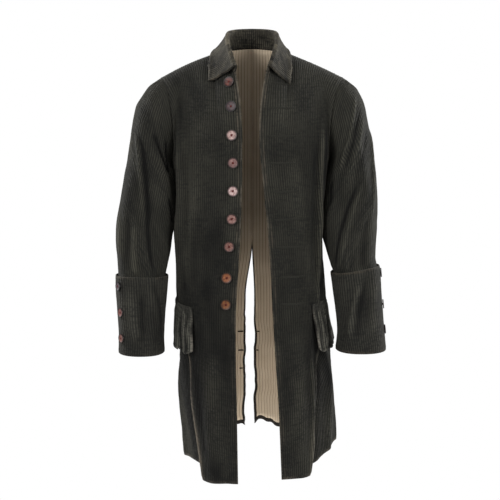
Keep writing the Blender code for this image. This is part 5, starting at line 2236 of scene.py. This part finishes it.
@dataclass
class PocketFlaps:
    """The scalloped pocket flaps, lying on the fronts over the hips."""

    form: BodyForm
    finish: Corduroy
    cloth: float = 0.0026
    layer_gap: float = 0.0007
    scallops: int = 3
    scallop_depth: float = 0.010
    flare: float = 0.0075
    waves: int = 4
    wave_depth: float = 0.0028
    rib: float = 0.0050
    rib_height: float = 0.0007
    seed: int = 151
    swell: float = 0.0008
    swell_in: float = 0.004
    edge_wear: float = 0.0018
    ripple: float = 0.0042
    columns: int = 145
    rows: int = 40

    def build(self, flap: Flap) -> bpy.types.Object:
        """Builds and dresses one flap.

        Args:
            flap: The flap's row of the table.

        Returns:
            The piece.
        """
        side = Side(flap.side)
        t, down = np.meshgrid(np.linspace(0, 1, self.columns), np.linspace(0, 1, self.rows))
        front = flap.share_front + (flap.low_front - flap.share_front) * down
        share = front + (flap.share_rear - front) * t
        top = flap.drop_top_front + (flap.drop_top_rear - flap.drop_top_front) * t
        scallop = self.scallop_depth * abs(np.sin(math.pi * self.scallops * t))
        drop = top + (flap.drop_low - self.scallop_depth + scallop - top) * down
        wave = self.wave_depth * (1 + np.sin(2 * math.pi * self.waves * t + flap.side))
        off = self.layer_gap + self.form.fold_height(side, share, drop).clip(0)
        off = off + self.flare * ease(down) + wave * down
        near = self.form.body(side, share, drop)
        step = 0.003
        one = self.form.body(side, share + step, drop) - self.form.body(side, share - step, drop)
        two = self.form.body(side, share, drop + step) - self.form.body(side, share, drop - step)
        away = -unit(np.cross(one, two)) * flap.side
        inner = near + away * off[..., None]
        cut = whole_cut(inner)
        cut.grain[..., 0] = cut.grain[0, :, 0]
        inset = cut.inset()
        node = "pocket_flap_" + self.form.named(side)
        u, v = cut.grain[..., 0].copy(), cut.grain[..., 1]
        wobbled(cut, self.seed)
        lift = ribs(cut, self.rib, self.rib_height, self.seed + flap.side)
        swell = self.swell * hump(inset, self.swell_in, 0.003)
        bend = wrinkled(node, cut).clip(0) * ease(inset / 0.004)
        inner = inner + away * bend[..., None]
        outer = inner + away * (self.cloth + lift + swell)[..., None]
        wear = 0.3 * patchy(self.seed, inset, u, v, self.edge_wear) * ease(down * 4)
        # Painted light and shade: ripples across the flap and a slight overall lift
        ripple = np.sin(2 * math.pi * (1.6 * self.waves * t + 0.15 * np.sin(9 * down)))
        ripple = self.ripple * ripple * ease(down * 2) * (1 - 0.7 * t)
        bloom = 0.05 + brushed(2.6 * bend + ripple, self.seed + 2, cut)
        bloom = bloom.clip(-1, 1)
        finish = self.finish.material()
        shell = Shell(node + "_cloth", outer, inner, cut, rounding=(0.1, 0.45, 0.45, 0.45),
                      wear=wear, bloom=bloom)
        return dressed(shell, node, [finish, finish])


@dataclass
class BackLinings:
    """The striped linings inside the backs, felled to the cloth just inside its edges."""

    form: BodyForm
    finish: StripedCotton
    cloth: float = 0.0024
    layer_gap: float = 0.0007
    lining: float = 0.0010
    top: float = 0.0135
    low: float = 1.984
    side_edge: float = 0.922
    vent_inset: float = 0.015
    columns: int = 97
    rows: int = 150
    pucker: float = 0.0012
    bagging: float = 0.0030
    surfaces: dict = field(default_factory=dict)

    def build(self, side: Side) -> bpy.types.Object:
        """Builds and dresses one lining.

        Args:
            side: The wearer's side.

        Returns:
            The piece.
        """
        rows = np.linspace(self.top, self.low, self.rows)
        t, down = np.meshgrid(np.linspace(0, 1, self.columns), rows)
        first = self.vent_inset * ease((down - 1.28) / 0.1)
        across = first + (self.side_edge - first) * t
        outer = self.form.cloth(side, Panel.BACK, across, down)
        outer = seamed(outer, t[0], (rows < self.form.seam_end).astype(float))
        outer = self.form.waved(side, outer, t[0])
        inward = facing(outer) * -side
        inward[rows < self.form.seam_end, 0, 0] = 0
        inward = unit(inward)
        cut = whole_cut(outer)
        cut.grain[..., 0] += first * 0.25
        u, v = cut.grain[..., 0], cut.grain[..., 1]
        seed = 161 + int(side)
        # Lining is cut a little long, so it puckers across and bags down the skirts
        pucker = unevenness(seed, u / 0.030, v / 0.012) - 0.5
        bag = unevenness(seed + 3, u / 0.028, v / 0.150)
        lift = (self.pucker * pucker + self.bagging * bag) * ease(cut.inset() / 0.012)
        near = outer + inward * (self.cloth + self.layer_gap + lift)[..., None]
        inner = near + inward * self.lining
        self.surfaces[side] = (inner, inward)
        finish = self.finish.material()
        node = "back_lining_" + self.form.named(side)
        shell = Shell(node + "_cloth", near, inner, cut, rounding=(0.3, 0.4, 0.1, 0.3))
        return dressed(shell, node, [finish, finish])


def deselected() -> None:
    """Leaves object mode with nothing selected."""
    if bpy.context.object and bpy.context.object.mode != "OBJECT":
        bpy.ops.object.mode_set(mode="OBJECT")
    bpy.ops.object.select_all(action="DESELECT")


def select_only(piece: bpy.types.Object) -> None:
    """Selects one object and makes it the active one.

    Args:
        piece: The object.
    """
    deselected()
    bpy.context.view_layer.objects.active = piece
    piece.select_set(True)


def select_where(test: Callable) -> None:
    """Selects the faces of the mesh in edit mode that pass a test, and no others.

    Args:
        test: Says whether a face is wanted.
    """
    mesh = bmesh.from_edit_mesh(bpy.context.object.data)
    bpy.ops.mesh.select_all(action="DESELECT")
    for face in mesh.faces:
        if test(face):
            face.select_set(True)
    mesh.select_flush_mode()
    bmesh.update_edit_mesh(bpy.context.object.data)


@dataclass
class Button:
    """A turned sew-through button: a raised rim, a dished middle, four holes and crossed thread.

    The steps of its face are pairs: how far in each goes, as a share of the radius, and how far up,
    as a share of the thickness.
    """

    radius: float
    seat: float = 0.0004
    shank: float = 0.0012
    thick: float = 0.0026
    foot: float = 0.34
    hole: float = 0.00085
    hole_from_middle: float = 0.0023
    thread: float = 0.00040
    face_steps: tuple = ((0.10, 0.0), (0.08, -0.14), (0.16, -0.16), (0.10, -0.08))
    foot_inset: float = 0.12
    edge_bevel: float = 0.28

    def disc(self, finish: bpy.types.Material) -> bpy.types.Object:
        """Turns the disc: a short cylinder, its edges rounded and its top stepped down.

        Args:
            finish: Its material.

        Returns:
            The disc.
        """
        deselected()
        under = self.seat + self.shank
        bpy.ops.mesh.primitive_cylinder_add(
            vertices=48, radius=self.radius, depth=self.thick,
            location=(0, 0, under + self.thick / 2),
        )
        disc = bpy.context.object
        disc.data.transform(Matrix.Translation(disc.location))
        disc.location = (0, 0, 0)
        bpy.ops.object.mode_set(mode="EDIT")
        for inward, up in self.face_steps:
            select_where(lambda f: f.normal.z > 0.9 and len(f.verts) > 4)
            bpy.ops.mesh.inset(thickness=self.radius * inward)
            bpy.ops.transform.translate(value=(0, 0, self.thick * up))
        select_where(lambda f: f.normal.z < -0.9 and len(f.verts) > 4)
        bpy.ops.mesh.inset(thickness=self.radius * self.foot_inset)
        bpy.ops.mesh.select_all(action="DESELECT")
        mesh = bmesh.from_edit_mesh(disc.data)
        for edge in mesh.edges:
            outer = all(v.co.xy.length > self.radius * 0.98 for v in edge.verts)
            level = abs(edge.verts[0].co.z - edge.verts[1].co.z) < 1e-6
            edge.select_set(outer and level)
        bmesh.update_edit_mesh(disc.data)
        bpy.ops.mesh.bevel(offset=self.thick * self.edge_bevel, segments=4)
        bpy.ops.object.mode_set(mode="OBJECT")
        disc.data.materials.clear()
        disc.data.materials.append(finish)
        self.drill(disc)
        turned = disc.data.attributes.new("turned", "FLOAT", "POINT")
        for vertex, place in zip(disc.data.vertices, turned.data):
            place.value = vertex.co.xy.length / self.radius
        return disc

    def drill(self, disc: bpy.types.Object) -> None:
        """Drills the four thread holes.

        Args:
            disc: The disc to drill.
        """
        for x, y in self.holes():
            deselected()
            bpy.ops.mesh.primitive_cylinder_add(
                vertices=14, radius=self.hole, depth=0.02, location=(x, y, 0)
            )
            drill = bpy.context.object
            cut = disc.modifiers.new("hole", "BOOLEAN")
            cut.operation = "DIFFERENCE"
            cut.solver = "EXACT"
            cut.object = drill
            select_only(disc)
            bpy.ops.object.modifier_apply(modifier=cut.name)
            bpy.data.objects.remove(drill, do_unlink=True)

    def holes(self) -> list:
        """The four holes' places."""
        at = self.hole_from_middle * math.sqrt(0.5)
        return [(at, at), (-at, at), (-at, -at), (at, -at)]

    def ring(self, radius: float, thread: float, shape: Matrix) -> bpy.types.Object:
        """Winds one ring of thread.

        Args:
            radius: The ring's radius.
            thread: The thread's radius.
            shape: How the ring is shaped, turned and placed.

        Returns:
            The object.
        """
        deselected()
        bpy.ops.mesh.primitive_torus_add(
            major_segments=20, minor_segments=6, major_radius=radius, minor_radius=thread
        )
        ring = bpy.context.object
        ring.data.transform(shape)
        return ring

    def threads(self, finish: bpy.types.Material) -> list:
        """Sews the crossed threads and winds the shank, each a shaped ring of thread.

        Args:
            finish: The thread's material.

        Returns:
            The rings of thread.
        """
        rings = []
        face = Vector((0, 0, self.seat + self.shank + self.thick * 0.62))
        upright = Matrix.Diagonal((1.0, 1.0, 0.34, 1.0)) @ Matrix.Rotation(math.pi / 2, 4, "X")
        for turn in (0.25 * math.pi, 0.75 * math.pi):
            for beside in (-1, 0, 1):
                aside = Vector((-math.sin(turn), math.cos(turn), 0)) * beside * self.thread * 1.7
                shape = Matrix.Translation(face + aside) @ Matrix.Rotation(turn, 4, "Z") @ upright
                rings.append(self.ring(self.hole_from_middle, self.thread, shape))
        for level in range(3):
            height = self.seat + self.shank * (0.2 + 0.35 * level)
            shape = Matrix.Translation((0, 0, height))
            rings.append(self.ring(self.radius * self.foot * 0.6, self.shank * 0.34, shape))
        for ring in rings:
            ring.data.materials.clear()
            ring.data.materials.append(finish)
            select_only(ring)
            bpy.ops.object.shade_smooth()
        return rings

    def build(self, body: bpy.types.Material, thread: bpy.types.Material) -> bpy.types.Object:
        """Builds one whole button, standing on the origin and facing up.

        Args:
            body: The button's own material.
            thread: The thread's material.

        Returns:
            The button.
        """
        disc = self.disc(body)
        rings = self.threads(thread)
        select_only(disc)
        bpy.ops.object.shade_smooth_by_angle(angle=math.radians(35))
        for ring in rings:
            ring.select_set(True)
        bpy.ops.object.join()
        return disc


@dataclass
class Buttons:
    """Every button, one turned model copied to its node's place, tinted partly with painted light.
    """

    front: Button
    cuff: Button
    thread: SewingThread
    front_shades: tuple
    cuff_shades: tuple

    def seat_of(self, node: str) -> tuple:
        """The middle of a CAD button's foot and its outward direction.

        Args:
            node: The button's node.

        Returns:
            The middle and the direction.
        """
        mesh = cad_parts[node].data
        points = np.array([v.co for v in mesh.vertices], float)
        middle = points.mean(axis=0)
        outward = np.linalg.eigh(np.cov((points - middle).T))[1][:, 0]
        heights = (points - middle) @ outward
        beside = np.linalg.norm(points - middle - heights[:, None] * outward, axis=1)
        # The foot is the narrow end, so its rings lie nearest to the axis
        ends = [np.median(beside[heights < heights.min() + 3e-4]),
                np.median(beside[heights > heights.max() - 3e-4])]
        if ends[0] > ends[1]:
            outward, heights = -outward, -heights
        return middle + outward * heights.min(), outward

    def place(
        self, model: bpy.types.Object, node: str, seat: float, turn: float
    ) -> bpy.types.Object:
        """Copies the model to a node's place and dresses the copy.

        Args:
            model: The turned button.
            node: The CAD node that the copy replaces.
            seat: The height of the model's foot.
            turn: How far the copy is turned about its own axis.

        Returns:
            The copy.
        """
        foot, outward = self.seat_of(node)
        up = np.array([0, 0, 1.0])
        across = unit(np.cross(up, outward))
        above = np.cross(outward, across)
        spin = np.array([[math.cos(turn), -math.sin(turn)], [math.sin(turn), math.cos(turn)]])
        copy = bpy.data.objects.new(node + "_shell", model.data.copy())
        bpy.context.scene.collection.objects.link(copy)
        points = np.array([v.co for v in copy.data.vertices], float)
        points[:, :2] = points[:, :2] @ spin.T
        placed = (foot + points[:, :1] * across + points[:, 1:2] * above
                  + (points[:, 2:] - seat) * outward)
        copy.data.vertices.foreach_set("co", placed.ravel())
        copy.data.update()
        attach(copy, "root")
        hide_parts(node)
        return copy

    def build(self) -> list:
        """Builds and places every button.

        Returns:
            The buttons.
        """
        thread, copies = self.thread.material(), []
        for model, shades, slot, names in (
            (self.front, self.front_shades, "shell_button",
             [f"button_front_{n}" for n in range(1, 10)]),
            (self.cuff, self.cuff_shades, "cuff_button",
             [f"button_cuff_{side}_{n}" for side in ("right", "left") for n in range(1, 4)]),
        ):
            made = model.build(shades[0].material(), thread)
            for number, (node, shade) in enumerate(zip(names, shades)):
                copy = self.place(made, node, model.seat, 0.35 * math.sin(2.4 * number))
                copy.data.materials[0] = shade.material()
                copies.append(copy)
            bpy.data.objects.remove(made, do_unlink=True)
        return copies


@dataclass
class Sewing:
    """Hand sewing laid on the cloth: worked buttonholes on the left front, bars at the vent."""

    finish: SewingThread
    bar_finish: SewingThread
    hole_drops: tuple = (0.086, 0.140, 0.202, 0.262, 0.326, 0.389, 0.452, 0.519, 0.579)
    hole_starts: tuple = (0.021, 0.020, 0.018, 0.019, 0.016, 0.018, 0.017, 0.019, 0.017)
    hole_length: float = 0.066
    hole_half: float = 0.0024
    bars: tuple = (
        (R, 0.698, 0.0150), (R, 0.749, 0.0140), (R, 0.798, 0.0090),
        (L, 0.698, 0.0070), (L, 0.749, 0.0060),
    )
    bar_half: float = 0.0018
    bar_start: float = 0.0005
    stitch: float = 0.0011
    sink: float = 0.0012
    knot_height: float = 0.0011
    leg_height: float = 0.0005
    slit_depth: float = 0.0009
    bar_height: float = 0.0014

    def level_line(self, surface: tuple, drop: float, places: Array) -> tuple:
        """A level line on a surface, from its first column inward.

        Args:
            surface: The surface's points and outward directions.
            drop: The line's drop.
            places: The distances from the first column.

        Returns:
            The line's points and outward directions.
        """
        points, columns = surface[0], range(surface[0].shape[1])
        line, away = (
            np.array([
                [np.interp(drop, -points[:, c, 2], grid[:, c, k]) for k in range(3)]
                for c in columns
            ])
            for grid in surface
        )
        run = lengths_along(line[None], 1)[0] + 1e-9 * np.arange(len(line))
        made = [np.stack([np.interp(places, run, g[:, k]) for k in range(3)], -1)
                for g in (line, away)]
        return made[0], unit(made[1])

    def strip(self, name: str, middle: tuple, half: float, profile: Callable,
              finish: SewingThread) -> bpy.types.Object:
        """Makes one row of stitches.

        Args:
            name: The piece's name.
            middle: The points along its middle, and the directions off the cloth there.
            half: Half its width.
            profile: Its height at a place across it (-1 to 1) and a length along it.
            finish: Its thread.

        Returns:
            The object.
        """
        line, outward = middle
        along = unit(np.gradient(line, axis=0))
        sideways = unit(np.cross(outward, along))
        length = lengths_along(line[None], 1)[0]
        v, run = np.meshgrid(np.linspace(-1, 1, 13), length, indexing="ij")
        t = run / length[-1]
        width = half * np.sqrt(np.clip(1 - abs(2 * t - 1) ** 10, 0.02, 1))
        flat = line[None] + sideways[None] * (width * v)[..., None]
        outer = flat + outward[None] * profile(v, run)[..., None]
        inner = flat - outward[None] * self.sink
        return Shell(name, outer, inner, whole_cut(outer)).make([finish.material()])

    def hole_profile(self, v: Array, run: Array) -> Array:
        """A buttonhole's two ridges of knots, either side of its slit.

        Args:
            v: The place across, from -1 to 1.
            run: The length along.

        Returns:
            The height.
        """
        knots = 0.7 + 0.3 * abs(np.sin(math.pi * run / self.stitch))
        ridges = self.knot_height * hump(abs(v), 0.42, 0.20) * knots
        legs = self.leg_height * ease((1 - abs(v)) / 0.3) * (0.6 + 0.4 * knots)
        return ridges + legs - self.slit_depth * hump(v, 0.0, 0.12)

    def bar_profile(self, v: Array, run: Array) -> Array:
        """A bar of close stitches over a core of thread."""
        wound = 0.75 + 0.25 * abs(np.sin(math.pi * run / self.stitch + 0.8 * v))
        return self.bar_height * np.sqrt(np.clip(1 - v * v, 0, 1)) * wound

    def build(self, front: tuple, linings: dict) -> list:
        """Works every buttonhole and bar, each on the surface that carries it.

        Args:
            front: The left front's points and directions.
            linings: The same of each lining, by its side.

        Returns:
            The pieces.
        """
        made = []
        for number, (drop, start) in enumerate(zip(self.hole_drops, self.hole_starts), 1):
            count = int(self.hole_length / self.stitch * 3)
            places = start + np.linspace(0, self.hole_length, count)
            middle = self.level_line(front, drop, places)
            made.append(self.strip(
                f"buttonhole_{number}", middle, self.hole_half, self.hole_profile, self.finish
            ))
        for number, (side, drop, length) in enumerate(self.bars, 1):
            count = int(length / self.stitch * 4)
            places = self.bar_start + np.linspace(0, length, count)
            middle = self.level_line(linings[side], drop, places)
            made.append(self.strip(
                f"vent_bar_{number}", middle, self.bar_half, self.bar_profile, self.bar_finish
            ))
        return made


@dataclass
class Studio:
    """The camera, a white floor and backdrop light, and broad soft lamps round the coat."""

    centre: tuple = (-0.005, 0.03, -0.475)
    distance: float = 2.4
    elevation: float = 7.0
    lens: float = 72.0
    sensor: float = 36.0
    floor_drop: float = 1.42
    floor_radius: float = 0.82
    surround: float = 0.47
    floor_glow: float = 0.12
    lamps: tuple = (
        ("key_lamp", (-1.9, -1.9, 0.9), (0, 0, -0.15), 1.0, 73.0),
        ("fill_lamp", (2.1, -1.9, 0.5), (0, 0, -0.15), 1.2, 76.0),
        ("left_rim_lamp", (-2.2, 1.2, 0.6), (0, 0, -0.45), 1.2, 105.0),
        ("right_rim_lamp", (2.2, 1.2, 0.6), (0, 0, -0.45), 1.2, 105.0),
    )

    def camera(self) -> None:
        """Sets the camera where the photograph was taken from."""
        data = bpy.data.cameras.new("camera")
        data.lens = self.lens
        data.sensor_width = self.sensor
        data.clip_end = 100.0
        eye = bpy.data.objects.new("camera", data)
        bpy.context.scene.collection.objects.link(eye)
        angle = math.radians(self.elevation)
        way = Vector((0, -math.cos(angle), math.sin(angle)))
        eye.location = Vector(self.centre) + way * self.distance
        eye.rotation_euler = (-way).to_track_quat("-Z", "Y").to_euler()
        bpy.context.scene.camera = eye

    def floor(self) -> None:
        """Lays the floor."""
        deselected()
        bpy.ops.mesh.primitive_circle_add(
            vertices=96, radius=self.floor_radius, fill_type="NGON",
            location=(0, 0, -self.floor_drop),
        )
        floor = bpy.context.object
        floor.name = "floor"
        made, tree = blank_material("seamless_white_paper")
        shader = add_node(
            tree, "BsdfPrincipled",
            {"Base Color": linear("#fbfbfb"), "Roughness": 0.9, "Specular IOR Level": 0.1,
             "Emission Color": (1.0, 1.0, 1.0, 1.0), "Emission Strength": self.floor_glow},
        )
        add_node(tree, "OutputMaterial", {"Surface": shader})
        floor.data.materials.append(made)

    def lamp(self, name: str, place: tuple, aim: tuple, size: float, power: float) -> None:
        """Hangs one square lamp.

        Args:
            name: Its name.
            place: Where it hangs.
            aim: The point that it faces.
            size: The length of its side.
            power: Its power in watts.
        """
        data = bpy.data.lights.new(name, "AREA")
        data.shape, data.size, data.energy = "SQUARE", size, power
        lamp = bpy.data.objects.new(name, data)
        bpy.context.scene.collection.objects.link(lamp)
        lamp.location = place
        way = Vector(aim) - Vector(place)
        lamp.rotation_euler = way.to_track_quat("-Z", "Y").to_euler()

    def light(self) -> None:
        """Lights the coat from four soft lamps and a surround that the camera sees as white."""
        world = bpy.data.worlds.new("white_surround")
        world.use_nodes = True
        tree = world.node_tree
        tree.nodes.clear()
        white = (1.0, 1.0, 1.0, 1.0)
        seen = add_node(tree, "Background", {"Color": white, "Strength": 1.0})
        shed = add_node(tree, "Background", {"Color": white, "Strength": self.surround})
        ray = add_node(tree, "LightPath").outputs["Is Camera Ray"]
        mixed = add_node(tree, "MixShader", {0: ray, 1: shed, 2: seen})
        add_node(tree, "OutputWorld", {"Surface": mixed})
        bpy.context.scene.world = world
        for lamp in self.lamps:
            self.lamp(*lamp)

    def build(self) -> None:
        """Builds the whole studio."""
        self.camera()
        self.floor()
        self.light()
        bpy.context.scene.view_settings.view_transform = "Standard"


def main() -> None:
    """Builds the coat's pieces in order and says what each one holds."""
    logging.basicConfig(level=logging.INFO, format="%(name)s: %(message)s")
    body = BodyForm()
    cord = Corduroy("cut_corduroy", "#0f0f0d", "#26251f", "#908e84", "#464037")
    cuff_cord = Corduroy("cuff_cut_corduroy", "#10100e", "#262520", "#94928a", "#3e372d")
    # The flaps are paler, and their folds get stronger painted light and shade
    flap_cord = Corduroy(
        "worn_flap_corduroy", "#0f0f0d", "#2f2e29", "#a5a298", "#55514a", brushed=1.5
    )
    collar_cord = Corduroy("rubbed_collar_corduroy", "#0e0d0b", "#37342c", "#a09a8c", "#4e483c")
    lining = StripedCotton("striped_lining_cotton", "#c3b39c", "#44352a", "#745f4d")
    # Each front button's tint is partly painted light: paler where it reflects more, darker in
    # shade
    front_shades = (
        ("#2a0f09", "#55291f"), ("#241719", "#3f2d2f"), ("#6f5651", "#a68f8a"),
        ("#4d3433", "#7b5f5b"), ("#7b5f5d", "#b59f9b"), ("#563835", "#84665f"),
        ("#492d29", "#75534a"), ("#4c2412", "#7c4b2b"), ("#3d1d0b", "#704422"),
    )
    cuff_shades = (
        ("#2a2024", "#41363b"), ("#4c2b28", "#6b4540"), ("#51322d", "#704f46"),
        ("#2f2122", "#483736"), ("#4a2c27", "#6a463c"), ("#3d2925", "#5a423c"),
    )
    Studio().build()
    panels = BodyPanels(body, cord, ClothBack("corduroy_back_twill"))
    sleeves = Sleeves(SleeveForm(body), cord, cuff_cord, lining)
    flaps = PocketFlaps(body, flap_cord)
    linings = BackLinings(body, lining)
    sewing = Sewing(
        SewingThread("dark_silk_twist", "#151512", "#302f2a"),
        SewingThread("dark_brown_silk_twist", "#0f0906", "#251810"),
    )
    buttons = Buttons(
        Button(0.0122), Button(0.0105),
        SewingThread("dark_red_thread", "#2c0d0c", "#5d2420"),
        tuple(ShellButtonFinish(f"shell_{n}", *pair) for n, pair in enumerate(front_shades, 1)),
        tuple(ShellButtonFinish(f"dark_shell_{n}", *pair) for n, pair in enumerate(cuff_shades, 1)),
    )
    pieces = [panels.build(side, panel) for side in Side for panel in Panel]
    pieces += [piece for side in Side for piece in sleeves.build(side)]
    pieces.append(Collar(body, collar_cord).build())
    pieces += [flaps.build(flap) for flap in FLAPS]
    pieces += [linings.build(side) for side in Side]
    pieces += sewing.build(panels.surfaces["front_left"], linings.surfaces)
    pieces += buttons.build()
    for piece in pieces:
        LOG.info("%s: %d faces", piece.name, len(piece.data.polygons))


if __name__ == "__main__":
    main()
